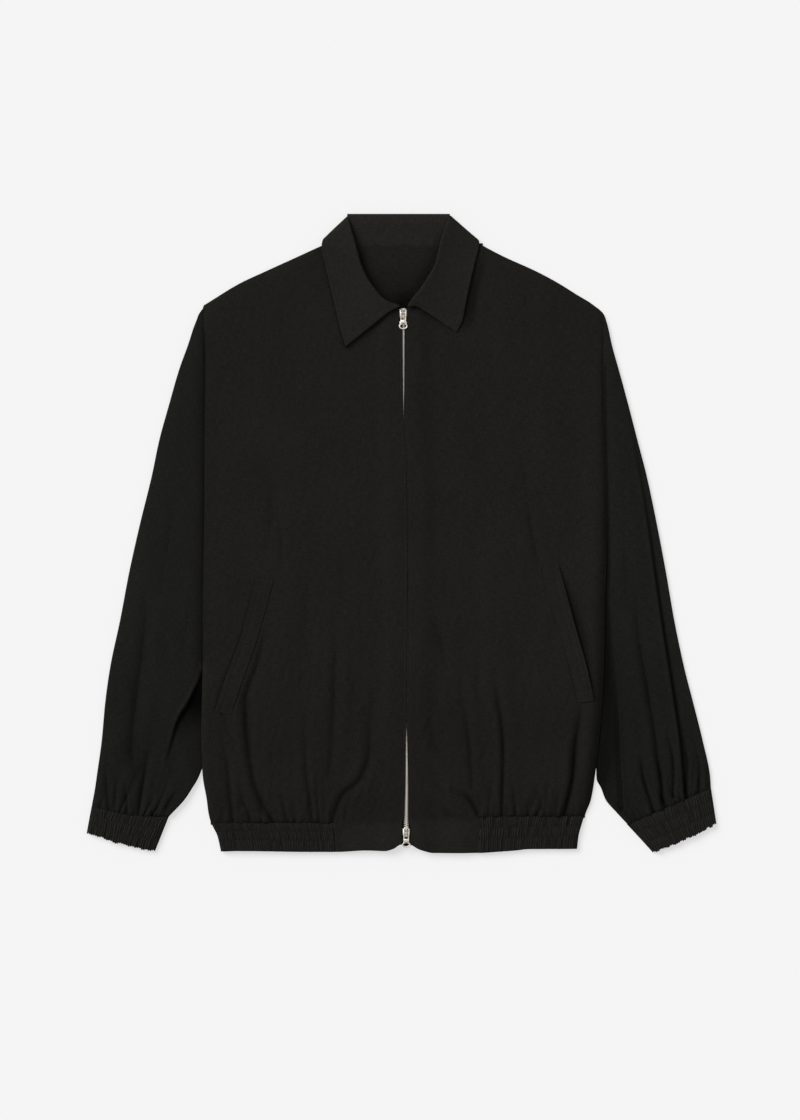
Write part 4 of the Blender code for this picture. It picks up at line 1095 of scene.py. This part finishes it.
def cuff(side):
    """An elasticated cuff, ruched between its stitch rows."""
    corners, seed, pitch = CUFFS[side], by(side, 71, 72), RIDGE["cuff"]
    down = np.concatenate([[0], spaced((0.6, CUFF_WIDE, 1.3))])[:, None]
    rows = down / CUFF_WIDE
    (top_in, top_out), (end_in, end_out) = (np.array(corners[k], float) for k in ("top", "end"))
    inner = top_in + (end_in - top_in) * rows
    outer = top_out + (end_out - top_out) * rows
    width = np.linalg.norm(outer - inner, axis=1)[:, None]
    shade = []

    def face(p, base, rise, which):
        across = np.linalg.norm(p - inner[:, None], axis=2)
        share = np.clip(across / width, 0, 1)
        lift = ruches(share * CUFF_AROUND, down + 0 * share, seed + which, pitch,
                      (0, *CUFF_ROWS, CUFF_WIDE), 1.5)
        # Painted shade in the troughs of the ruching and painted light on its ridges.
        shade.append(0.5 * (1 - np.clip(lift / 1.3, 0, 1)) - 0.12)
        lift += stitch_dips(down, CUFF_ROWS)
        return (base + rise * np.sin(pi * share) ** 0.5
                + lift * ease(across / 5) * ease((width - across) / 5))

    def top(p):
        return face(p, 3.9, 2.0, 0) - 0.5 * bell(down, 2.0)

    def low(p):
        return np.maximum(0.5 - face(p, 0.0, 0.0, 5) * 0.5, 0.02)

    points = ring_points(inner, outer, top, low, 0.55, 1.2)
    share = np.clip(np.linalg.norm(points[..., :2] - inner[:, None], axis=2) / width, 0, 1)
    arch = np.sin(pi * share)
    points[..., 1] -= corners["sag"] * arch * (1 - rows) + corners["swell"] * arch * rows
    scallop = 0.7 * np.cos(2 * pi * share * CUFF_AROUND / pitch)
    scallop += unrest(share * CUFF_AROUND, 0, seed, 11, 1)
    points[..., 1] -= scallop * rows**5
    # The painted shade of the half above comes from its top, and that of the half below from its
    # underside.
    piece = cloth_sheet("cuff_ruched_" + side, points, tube_cut(points), BAND_BLACK, ring=True,
                        ply=RUCHED, shade=np.concatenate(shade[::3], axis=1))
    add_piece(piece, "cuff_" + side, flat=(by(side, 190, 220), 42))


def hem_band():
    """The elasticated hem band, from its join on the right front round the back to the left."""
    down = np.concatenate([[0], spaced((0.6, BAND_WIDE, 1.5))])
    t = down / BAND_WIDE
    shade = []

    def fold_at(side):
        seam, edge = read(HEM, "seam", BODY[side][1]), read(HEM, "edge", BODY[side][0])
        return read(BODY, side, seam + (edge - seam) * t)

    def part(x, base, seed, column, sign, near):
        """One face of the band on sections (sections, rows) of x, `near` its ends."""
        seam, edge = read(HEM, "seam", x[:, :1]), read(HEM, column, x[:, -1:])
        lift = ruches(x[:, :1] + 0 * x, down + 0 * x, seed, RIDGE["band"],
                      (0, *BAND_ROWS, BAND_WIDE), 1.4)
        # Painted shade in the troughs of the ruching and painted light on its ridges.
        shade.append(0.5 * (1 - np.clip(lift / 1.2, 0, 1)) - 0.06)
        z = np.maximum(base + sign * (lift + stitch_dips(down, BAND_ROWS)), 0.02)
        z = 2.6 + (z - 2.6) * np.sqrt(np.clip(1 - (1 - near / 6).clip(0) ** 2, 0, 1))
        return grid(x, seam + (edge - seam) * t, z)

    def front_part(side, seed):
        fold = fold_at(side)
        seam = read(HEM, "seam", fold[0])
        rows = seam + (read(HEM, "edge", fold[-1]) - seam) * t
        outer = read(BODY, side, rows)
        inner = read(ZIP, "x", rows) + SIGN[side] * read(ZIP, "gap", rows)
        join = outer + (inner - outer) * JOIN_SHARE[side] + SIGN[side] * BAND_SEAM
        width = abs(fold[0] - join[0])
        places = np.concatenate([[-4.0], spaced((0, width - 4, 0.6), (width - 4, width, 0.8))])
        share = places[:, None] / width
        points = part(join + (fold - join) * share, BAND_TOP - 0.9, seed, "edge", 1,
                      (1 - share) * width)
        points[..., 2] -= 0.5 * bell(down, 2.0)
        points[:2, :, 2] -= np.array((1.2, 0.3))[:, None]
        return points

    right, left = fold_at("right"), fold_at("left")
    share = spaced((0, UNDER_BAND_WIDE, 1.25))[:, None] / UNDER_BAND_WIDE
    under = part(right + (left - right) * share, 0.75, 83, "back", -0.35,
                 np.minimum(share, 1 - share) * UNDER_BAND_WIDE)
    whole = np.concatenate([front_part("right", 81), under[1:-1],
                            front_part("left", 82)[::-1]])
    shade = np.concatenate([shade[1], shade[0][1:-1], shade[2][::-1]])
    cut = pair(travelled(whole).mean(axis=1)[:, None] * 1.15, -down)
    # Most of it faces down, as the back does.
    piece = cloth_sheet("band_ruched", whole, cut, BAND_BLACK, ply=RUCHED, down=True, shade=shade)
    add_piece(piece, "hem_band", flat=(875, 36))


def collar_lines(order):
    """The collar's roll line and edge at places among its sections, and the way between them."""
    roll, edge = (pair(read(COLLAR_SECTIONS, line + "_x", order),
                       read(COLLAR_SECTIONS, line + "_y", order)) for line in ("roll", "edge"))
    return roll, edge, unit(edge - roll)


def collar():
    """The collar's fall with its roll, from point to point."""
    ends = np.array((0, 0.08, 0.16, 0.22, 0.28, 0.34, 0.42))
    order = np.concatenate([ends, np.linspace(0.5, COLLAR_LAST - 0.5, 250),
                            COLLAR_LAST - ends[::-1]])
    roll, edge, out = collar_lines(order)
    length = np.linalg.norm(edge - roll, axis=1)[:, None]
    # The fall turns from face up at the fronts to face down under the back.
    turn = np.interp(order, (6.6, 9.2, 12.8, 15.4), (0, 1, 1, 0)) * pi
    h = pair(np.where(order < 11, -0.7, 0.7), 0.7)
    h = unit(h - out * np.sum(h * out, axis=1)[:, None])
    normal = np.concatenate([h * np.sin(turn)[:, None], np.cos(turn)[:, None]], axis=1)
    share = spaced((0, 46, 2.2), (46, 49.2, 1.6), (49.2, 52.4, 0.6), (52.4, FALL_WIDE, 1.5))
    share = share / FALL_WIDE
    x, y = (roll[:, k:k + 1] + out[:, k:k + 1] * (COLLAR_ROLL + share * (length - COLLAR_ROLL))
            for k in (0, 1))
    roll_z, edge_z = (read(COLLAR_SECTIONS, k, order)[:, None] for k in ("roll_z", "edge_z"))
    z = edge_z + (roll_z - edge_z) * (1 - share) ** 2
    # The corners of the front edges.
    for from_end, shares, bow in (
        (order, (0, 0.1, 0.2, 0.4, 0.7, 1), (0, 1.5, 2.7, 2.1, 1.0, 0)),
        (COLLAR_LAST - order, (0, 0.06, 0.12, 0.183, 0.24, 0.41, 0.67, 1),
         (0, 2, 4, 5.6, 5.3, 4.3, 2.4, 0)),
    ):
        y = y + np.interp(share, shares, bow) * bell(from_end, 0.7)[:, None]
    from_end = np.minimum(order, COLLAR_LAST - order)[:, None] * 13
    stitch = np.maximum(bell((1 - share) * FALL_WIDE - COLLAR_ROW, 0.6),
                        bell(from_end - COLLAR_ROW, 0.7))
    thick = 0.8 + unrest(x, y, 91, 30, 0.12, 1.0) - 0.25 * stitch
    fall = grid(x, y, z) + normal[:, None] * thick[..., None]
    out = np.pad(out, ((0, 0), (0, 1)))
    turns = [bent(fall[:, 0], -out, normal, COLLAR_ROLL, degrees)
             for degrees in (180, 157, 134, 112, 90, 67, 45, 22)]
    # Below the roll the stand goes down to the neckline.
    drop = np.maximum(turns[0][:, 2] - 8.4, 0) * (np.cos(turn) > 0.9)
    stand = [turns[0] + out * 2.5 * t - np.outer(drop * t * t, UP) for t in (1.3, 1.0, 0.6, 0.3)]
    points = np.concatenate([np.array(stand + turns).transpose(1, 0, 2), fall], axis=1)
    cut = pair(travelled(points[:, 20])[:, None], travelled(points, 1))
    points, cut = roll_under(points, cut, "first_row", 0.75, 1.2, (45, -64.5))
    points, cut = roll_under(points, cut, "last_row", 0.75, 5.0, (-31, -57.8))
    # The outer edge turns under along the fall's own normal.
    edge_row = points[:, -1]
    out, normal = (np.pad(v, ((TURNED, TURNED), (0, 0)), "edge") for v in (out, normal))
    extra = [bent(edge_row, out, normal, 0.75, degrees) for degrees in BENDS]
    extra.append(edge_row - out * 5 - normal * 1.5)
    points = np.concatenate([points, np.array(extra).transpose(1, 0, 2)], axis=1)
    more = pair(cut[:, -1:, 0], cut[:, -1:, 1] + (0.45, 0.9, 1.4, 1.9, 2.35, 7.4))
    piece = cloth_sheet("collar_fall", points, np.concatenate([cut, more], axis=1), LIT_COLLAR_BLACK)
    add_piece(piece, "collar", flat=(500, 70))


def collar_stand():
    """The stand that shows inside the back neck, up over the roll and in under both leaves."""
    share = spaced((0, STAND_WIDE, 2.0)) / STAND_WIDE
    rise = spaced((0, 3, 0.6), (3, STAND_HIGH, 1.9))[:, None]
    y = NECK_SEAM_Y + rise
    right, left = (read(STAND_SIDES, side, y) for side in SIDES)
    x = right - 2.0 + (left - right + 4.0) * share
    z = neck_lift(0, STAND_TOP_Y) + 0.5 + 2.85 * (rise / STAND_HIGH) ** 1.6
    flat = grid(x, y, z - 0.3 * bell(rise, 0.9) - 0.12 * bell(rise - 3.2, 0.8))
    over = [bent(flat[-1:], np.array((0, 1, 0)), UP, 2.5, degrees) for degrees in (20, 40, 60, 80)]
    points = flat + unrest(x, y, 93, 24, 0.1, 1.0)[..., None] * UP
    points = np.concatenate([points] + over)
    # Painted shade inside the neck, and painted light towards the stand's top.
    piece = cloth_sheet("stand_inside_neck", points, flat_cut(points), LIT_STAND_BLACK,
                        shade=lambda x, y: shades(x, y, "back") - 0.16 * ease((y - 362) / 18))
    add_piece(piece, "collar_stand", flat=(115, 41))


def pocket_welt(side):
    """A slanted welt, folded at its open edge and sewn down flush at its seam and its lower end."""
    welt = WELTS[side]
    share = spaced((0, 1.2, 0.6), (1.2, 5, 1.3), (5, 7, 0.7), (7, 18, 1.6), (18, WELT_WIDE, 0.7))
    share = share / WELT_WIDE
    rows = spaced((welt["y"][0], welt["y"][-1], 1.8))
    open_x, seam_x = (read(welt, line, rows)[:, None] for line in ("open", "seam"))
    x = open_x + (seam_x - open_x) * share
    y = rows[:, None] - 3.0 * share
    top, low = (rows[-1] - rows)[:, None], (rows - rows[0])[:, None]
    # Flush at the seam and at the lower end, proud along the open edge.
    towards_seam = ease((share - 0.5) / 0.5)
    if side == "right":
        proud = (1.0 - 0.35 * towards_seam) * (0.45 + 0.55 * ease(low / 14))
    else:
        proud = 0.3 + 0.9 * (1 - towards_seam)
        proud = proud + 2.4 * ease(top / 45) * ease(low / 30) * bell(share * WELT_WIDE, 8)
    z = front_top(x, y, side) + proud - 0.25 * bell(share * WELT_WIDE - 6, 0.7)
    points = grid(x, y, z)
    grown = points, flat_cut(points)
    for edge, radius, tuck in (("first_column", 0.45, 9.0), ("last_column", 0.22, 2.0),
                               ("first_row", 0.3, 3.0), ("last_row", 0.4, 3.0)):
        grown = roll_under(*grown, edge, radius, tuck)
    piece = cloth_sheet("welt_" + side, *grown, BLACK, ply=0.4, shade=lambda x, y: lower_body(y))
    add_piece(piece, "pocket_welt_" + side, flat=(34, 166))


def scaled(values):
    """Millimetres as metres."""
    return [v * MM for v in values]


def select_all():
    bpy.ops.mesh.select_all(action="SELECT")


def bevel(width, segments=2, affect="EDGES", **more):
    """Rounds what is selected in edit mode."""
    bpy.ops.mesh.bevel(offset=width * MM, segments=segments, affect=affect, **more)


def extrude(*way):
    """Pulls what is selected in edit mode out into new faces."""
    bpy.ops.mesh.extrude_region_move(TRANSFORM_OT_translate={"value": scaled(way)})


def in_edit_mode(shape):
    """Runs `shape` on the whole mesh of the active object in edit mode."""
    bpy.ops.object.mode_set(mode="EDIT")
    select_all()
    shape()
    bpy.ops.object.mode_set(mode="OBJECT")


def solid_part(add, shape=None, scale=(1, 1, 1), **given):
    """A hard part: a primitive that the operator `add` makes from what it is given, stretched, and
    shaped in edit mode by `shape`."""
    bpy.ops.object.select_all(action="DESELECT")
    add(**given)
    made = bpy.context.object
    made.scale = scale
    bpy.ops.object.transform_apply(location=False, rotation=True, scale=True)
    if shape:
        in_edit_mode(shape)
    bpy.ops.object.transform_apply(location=True, rotation=True, scale=True)
    return made


def mesh_of(part):
    """A part's corners and faces as arrays, and the part gone from the scene."""
    corners = np.array([v.co[:] for v in part.data.vertices])
    faces = [list(face.vertices) for face in part.data.polygons]
    bpy.data.objects.remove(part)
    return corners, faces


def repeated(name, copies, faces, material):
    """One mesh of many copies of a part's corners, all with its faces."""
    size = len(copies[0])
    mesh = bpy.data.meshes.new(name)
    mesh.from_pydata(np.concatenate(copies).tolist(), [], [
        [k * size + i for i in face] for k in range(len(copies)) for face in faces])
    return put(name, mesh, material)


def pick(test):
    """Selects only the faces of the mesh in edit mode whose middle passes `test`, in mm."""
    mesh = bmesh.from_edit_mesh(bpy.context.object.data)
    for face in mesh.faces:
        face.select_set(False)
    for face in mesh.faces:
        if test(face.calc_center_median() / MM):
            face.select_set(True)
    mesh.select_flush(True)
    bmesh.update_edit_mesh(bpy.context.object.data)


def block(size, centre, rounding=0.3, segments=2, flare=1.0):
    """A block with rounded edges, its end towards the hem made wider by `flare`."""
    middle = scaled(centre)

    def shape():
        pick(lambda face: face.y < centre[1] - size[1] * 0.4)
        bpy.ops.transform.resize(value=(flare, 1, 1), center_override=middle)
        select_all()
        bevel(rounding, segments)

    return solid_part(bpy.ops.mesh.primitive_cube_add, shape, scaled(size), size=1,
                      location=middle)


def combine(whole, other, operation):
    """Adds another part to a solid or cuts it away, and removes it."""
    bpy.ops.object.select_all(action="DESELECT")
    whole.select_set(True)
    bpy.context.view_layer.objects.active = whole
    joined = whole.modifiers.new("joined", "BOOLEAN")
    joined.operation = operation
    joined.solver = "EXACT"
    joined.object = other
    bpy.ops.object.modifier_apply(modifier=joined.name)
    bpy.data.objects.remove(other)


def merged(name, parts, slots=()):
    """Parts joined into one plated solid, and slots cut from it."""
    whole = parts[0]
    for other in parts[1:]:
        combine(whole, other, "UNION")
    for size, centre in slots:
        combine(whole, block(size, centre, 0.1, 1), "DIFFERENCE")
    whole.name = whole.data.name = name
    whole.data.materials.clear()
    whole.data.materials.append(NICKEL)
    bpy.ops.object.shade_smooth_by_angle(angle=radians(40))
    return whole


def plate(centre, mouth, length=SLIDER_LENGTH - 0.8):
    """A slider's plate: wide at its mouth, narrow at its tail, its corners rounded."""
    made = solid_part(bpy.ops.mesh.primitive_cylinder_add, None,
                      scaled((SLIDER_WIDTH, length, PLATE)), vertices=28, radius=0.5, depth=1,
                      location=scaled(centre))
    x, y, _ = scaled(centre)
    half = np.array((SLIDER_WIDTH, length)) * MM / 2
    for v in made.data.vertices:
        # The round of the cylinder is pushed out towards a rectangle with rounded corners.
        across, along = (v.co.x - x) / half[0], (v.co.y - y) / half[1]
        spread_out = (abs(across) ** 3 + abs(along) ** 3) ** (-1 / 3)
        across, along = across * spread_out, along * spread_out
        narrow = 1 - (1 - SLIDER_TAIL / SLIDER_WIDTH) * (1 - along * mouth) / 2
        v.co.x = x + across * narrow * half[0]
        v.co.y = y + along * half[1]
    in_edit_mode(lambda: bevel(0.25))
    return made


def slider(name, centre_y, mouth):
    """A slider: two plates, their flanges, the wedge between them, the bridge for the pull, and
    the slots either side of it."""
    x = float(read(ZIP, "x", centre_y))
    middle_y = centre_y - 0.4 * mouth
    low = ZIP_Z - CHAIN_THICK / 2 - GAP - PLATE
    parts = [plate((x, middle_y, z), mouth) for z in (SLIDER_TOP - PLATE / 2, low + PLATE / 2)]
    flange = (SLIDER_WIDTH + SLIDER_TAIL - 1.3) / 4 * 0.96
    parts += [block((1.2, SLIDER_LENGTH * 0.66, 0.9), (x + sign * flange, middle_y, z), 0.2)
              for sign in (-1, 1) for z in (SLIDER_TOP - PLATE - 0.15, low + PLATE + 0.15)]
    parts.append(block((2.2, 4.0, CHAIN_THICK + 1.2), (x, middle_y + mouth * 3.1, ZIP_Z), 0.4))

    def arch():
        bevel(0.3, affect="VERTICES")
        bpy.ops.mesh.spin(steps=14, angle=pi, center=scaled((x, centre_y, SLIDER_TOP)),
                          axis=(1, 0, 0))

    bridge = solid_part(bpy.ops.mesh.primitive_plane_add, arch, (*scaled((1.7, 1.1)), 1), size=1,
                        location=scaled((x, centre_y + 3.7, SLIDER_TOP)))
    heights = [v.co.z for v in bridge.data.vertices]
    bottom, tall = min(heights), max(heights) - min(heights)
    for v in bridge.data.vertices:
        share = (v.co.z - bottom) / tall
        v.co.z = (SLIDER_TOP - 0.3) * MM + share * (EYE_HEIGHT + 1.2) * MM
    in_edit_mode(bpy.ops.mesh.edge_face_add)
    slots = [((1.3, 9.4, 2.8), (x + sign * 1.52, centre_y, SLIDER_TOP)) for sign in (-1, 1)]
    piece = merged(name + "_slider_body", parts + [bridge], slots)
    add_piece(piece, "zip_slider_" + name)


def pull(name, centre_y, reach=PULL_REACH):
    """A pull lying flat towards the hem: its pin, two arms, a neck that widens, and a ring, whose
    middle lies `reach` from the pin."""
    x = float(read(ZIP, "x", centre_y))
    z = SLIDER_TOP + PIN_CLEAR + PIN / 2
    ring_y, short = centre_y - reach, PULL_REACH - reach

    def ring_shape():
        bpy.ops.mesh.extrude_edges_move()
        bpy.ops.transform.resize(value=(5.1 / 3.7, 3.8 / 2.35, 1),
                                 center_override=(x * MM, ring_y * MM, 0))
        select_all()
        extrude(0, 0, PULL_THICK)
        select_all()
        bpy.ops.mesh.normals_make_consistent(inside=False)
        bevel(0.32, clamp_overlap=True)

    ring = solid_part(bpy.ops.mesh.primitive_circle_add, ring_shape, (3.7, 2.35, 1), vertices=40,
                      radius=MM, location=scaled((x, ring_y, z - PULL_THICK / 2)))
    pin = solid_part(bpy.ops.mesh.primitive_cylinder_add, vertices=20, radius=PIN / 2 * MM,
                     depth=6.4 * MM, location=scaled((x, centre_y, z)), rotation=(0, pi / 2, 0))
    arms = [block((1.55, 10.6 - short, PULL_THICK),
                  (x + sign * 2.72, centre_y - 4.2 + short / 2, z), 0.4, 3) for sign in (-1, 1)]
    neck = [block((6.8, 3.0, PULL_THICK), (x, centre_y - 10.4 + short, z), 0.35),
            block((6.6, 2.6, PULL_THICK), (x, centre_y - 12.3 + short, z), 0.3, flare=1.3)]
    piece = merged(name + "_pull_tab", [ring, pin] + arms + neck)
    add_piece(piece, "zip_pull_" + name, body="pull_" + name)


def zip_teeth():
    """The chain: one tooth, modelled once, repeated on both tapes."""
    def shape():
        # A nose on the inner face, which locks between the teeth of the other side.
        pick(lambda face: face.x < 0.5)
        bpy.ops.mesh.inset(thickness=0.2 * MM)
        extrude(-1.0, 0, 0)
        bpy.ops.transform.resize(value=(1, 0.9, 0.85), center_override=(0, 0, 0))
        select_all()
        bevel(0.16, 1)

    tooth, faces = mesh_of(solid_part(
        bpy.ops.mesh.primitive_cube_add, shape, scaled((2.5, 1.32, CHAIN_THICK)), size=1,
        location=scaled((1.4, 0, 0))))
    top = TOP_SLIDER_Y - SLIDER_LENGTH / 2 + 1
    end = BOTTOM_SLIDER_Y + SLIDER_LENGTH / 2 - 1
    teeth = []
    for side, start in ((-1, 0.25), (1, 0.75)):
        for k in range(int((top - end) / TOOTH_PITCH)):
            y = end + (k + start) * TOOTH_PITCH
            teeth.append(tooth * (side, side, 1) + scaled((read(ZIP, "x", y), y, ZIP_Z)))
    add_piece(repeated("zip_teeth", teeth, faces, NICKEL), "zip_chain")


def zip_tape(side):
    """A woven tape, its inner edge clamped in the teeth."""
    y = spaced((BOTTOM_SLIDER_Y + 6, TOP_SLIDER_Y - 6, 5.0))[:, None]
    across = spaced((0, TAPE_WIDE, 1.6))
    x = read(ZIP, "x", y) + SIGN[side] * (2.2 + across)
    points = grid(x, y, ZIP_Z + 0.28 + 0.28 * bell(across, 0.8))
    piece = cloth_sheet("woven_tape_" + side, points, flat_cut(points), TAPE_BLACK)
    add_piece(piece, "zip_tape_" + side, flat=(13, 612))


# A row of stitches: the piece it is sewn to, its route, and whether it is seen from above.
StitchRow = namedtuple("StitchRow", "piece route above", defaults=(True,))


def hem_rows():
    """The rows along the zip's edges and above the plain hem."""
    for side in SIDES:
        y = np.arange(256, -367, -8.0)
        x = read(ZIP, "x", y) + SIGN[side] * (read(ZIP, "gap", y) + 2.85)
        yield StitchRow("front_panel_" + side, pair(x, y))
        x = np.linspace(JOIN_X[side] - SIGN[side] * 5, x[-1], 30)
        yield StitchRow("front_panel_" + side, pair(x, read(HEM, "edge", x) + 7))


def collar_rows():
    """The row inside the collar's edge, all round."""
    for first, last in ((0.35, 8), (21.6, 14)):
        _, edge, out = collar_lines(np.linspace(first, last, 40))
        yield StitchRow("collar_fall", edge - out * COLLAR_ROW)
    for start, way, inward, shares, bow in (
        ((-4.0, 271.5), (-64.5, -48.0), (-0.597, 0.802), (0.1, 0.2, 0.4, 0.7, 0.93),
         (1.5, 2.7, 2.1, 1.0, 0.2)),
        ((6.2, 271.5), (57.8, -31.0), (0.4726, 0.881), (0.14, 0.183, 0.24, 0.41, 0.67, 0.92),
         (4.6, 5.6, 5.3, 4.3, 2.4, 0.5)),
    ):
        line = start + np.outer(shares, way) + 5.4 * np.array(inward)
        yield StitchRow("collar_fall", line + np.outer(bow, (0, 1)))


def welt_rows():
    """A row beside each welt's seam, one across each of its ends, and the right one's tack."""
    for side in SIDES:
        welt, sign = WELTS[side], SIGN[side]
        y = np.linspace(welt["y"][-1], welt["y"][0], 30)
        yield StitchRow("front_panel_" + side, pair(read(welt, "seam", y) - 2.6 * sign, y - 3))
        for k, step in ((-1, -1.8), (0, 1.8)) + by(side, ((-1, -13.5),), ()):
            at_y = welt["y"][k] + step
            yield StitchRow("welt_" + side, np.array([
                (read(welt, "open", at_y) - 1.5 * sign, at_y - 0.2),
                (read(welt, "seam", at_y) + 1.5 * sign, at_y - 2.8)]))


def band_rows():
    """Two rows round the hem band."""
    for t in np.array(BAND_ROWS) / BAND_WIDE:
        for start, end, column in ((-229, JOIN_X["right"] - 1, "edge"),
                                   (JOIN_X["left"] + 2, 210, "edge"), (-226, 208, "back")):
            x = np.linspace(start, end, 60)
            seam, edge = read(HEM, "seam", x), read(HEM, column, x)
            yield StitchRow("band_ruched", pair(x, seam + (edge - seam) * t), column == "edge")


def cuff_rows():
    """Two rows round each cuff."""
    share = np.linspace(0.03, 0.97, 30)[:, None]
    arch = np.sin(pi * share[:, 0])
    for side in SIDES:
        cuff = CUFFS[side]
        for t in np.array(CUFF_ROWS) / CUFF_WIDE:
            ends = np.array(cuff["top"]) * (1 - t) + np.array(cuff["end"]) * t
            line = ends[0] + (ends[1] - ends[0]) * share
            line[:, 1] -= cuff["sag"] * arch * (1 - t) + cuff["swell"] * arch * t
            for above in (True, False):
                yield StitchRow("cuff_ruched_" + side, line, above)


def stitching():
    """Every row of stitches, one stitch modelled once and laid along the rows on the cloth."""
    def shape():
        bpy.ops.mesh.bisect(plane_co=(0, 0, -0.06 * MM), plane_no=(0, 0, 1), use_fill=False,
                            clear_inner=True)

    stitch, faces = mesh_of(solid_part(
        bpy.ops.mesh.primitive_uv_sphere_add, shape, (0.24, 0.2, 1.15), segments=6, ring_count=4,
        radius=MM, rotation=(pi / 2, 0, 0)))
    bpy.context.view_layer.update()
    graph = bpy.context.evaluated_depsgraph_get()
    placed = []
    for row in (*hem_rows(), *collar_rows(), *welt_rows(), *band_rows(), *cuff_rows()):
        cloth = bpy.data.objects[row.piece]
        far = travelled(row.route)
        middle = np.arange(STITCH / 2, far[-1], STITCH)
        at, ahead = (np.stack([np.interp(middle + d, far, line) for line in row.route.T], axis=1)
                     for d in (0, 0.5))
        for (x, y), way in zip(at, ahead - at):
            eye = (x * MM, y * MM, 0.04 if row.above else -0.02)
            hit, spot, normal, _ = cloth.ray_cast(eye, (0, 0, -1 if row.above else 1),
                                                  depsgraph=graph)
            if not hit:
                continue
            up = np.array(normal)
            if (up[2] < 0) == row.above:
                up = -up
            along = np.array((*way, 0))
            along = unit(along - up * (along @ up))
            turned = stitch @ np.array((np.cross(along, up), along, up)) + spot
            placed.append(np.maximum(turned, (-1, -1, 0)))
    piece = repeated("edge_stitching", placed, faces, THREAD)
    piece.data.shade_smooth()
    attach(piece, "jacket")


back()
for side in SIDES:
    for make in (front, sleeve, cuff, pocket_welt):
        make(side)
hem_band()
collar()
collar_stand()
zip_teeth()
for side in SIDES:
    zip_tape(side)
slider("top", TOP_SLIDER_Y, 1)
slider("bottom", BOTTOM_SLIDER_Y, -1)
pull("top", TOP_SLIDER_Y)
pull("bottom", BOTTOM_SLIDER_Y, 14.7)
stitching()


def studio():
    """A pale floor, a soft key light from the upper left, an even fill, and the camera."""
    scene = bpy.context.scene
    scene.view_settings.view_transform = "Standard"
    scene.view_settings.look = "None"
    floor = bpy.data.meshes.new("floor")
    floor.from_pydata([(x, y, -0.0004) for x, y in ((-6, -6), (6, -6), (6, 6), (-6, 6))], [],
                      [(0, 1, 2, 3)])
    pale, tree, shader = new_material("pale_floor")
    wire(tree, shader, {
        "Base Color": (0.3, 0.3, 0.3, 1), "Roughness": 0.9, "Specular IOR Level": 0.0,
        "Emission Color": (1, 1, 1, 1), "Emission Strength": 0.572})
    put("floor", floor, pale)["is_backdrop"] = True
    world = scene.world = bpy.data.worlds.new("even_fill")
    world.use_nodes = True
    wire(world.node_tree, world.node_tree.nodes["Background"],
         {"Color": (1, 1, 1, 1), "Strength": 0.5})
    key = bpy.data.lights.new("key", "SUN")
    key.energy = 3.3
    key.angle = radians(34)
    place("key", key, rotation_euler=(radians(-30), radians(-46), 0))
    camera = bpy.data.cameras.new("camera")
    camera.lens = 85
    camera.sensor_width = 36
    camera.clip_end = 20
    scene.camera = place("camera", camera, location=(-0.0036, -0.0336, 3.1733 + 0.006))


studio()
[[list(corner) for corner in box] for box in (cad_box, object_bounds())]
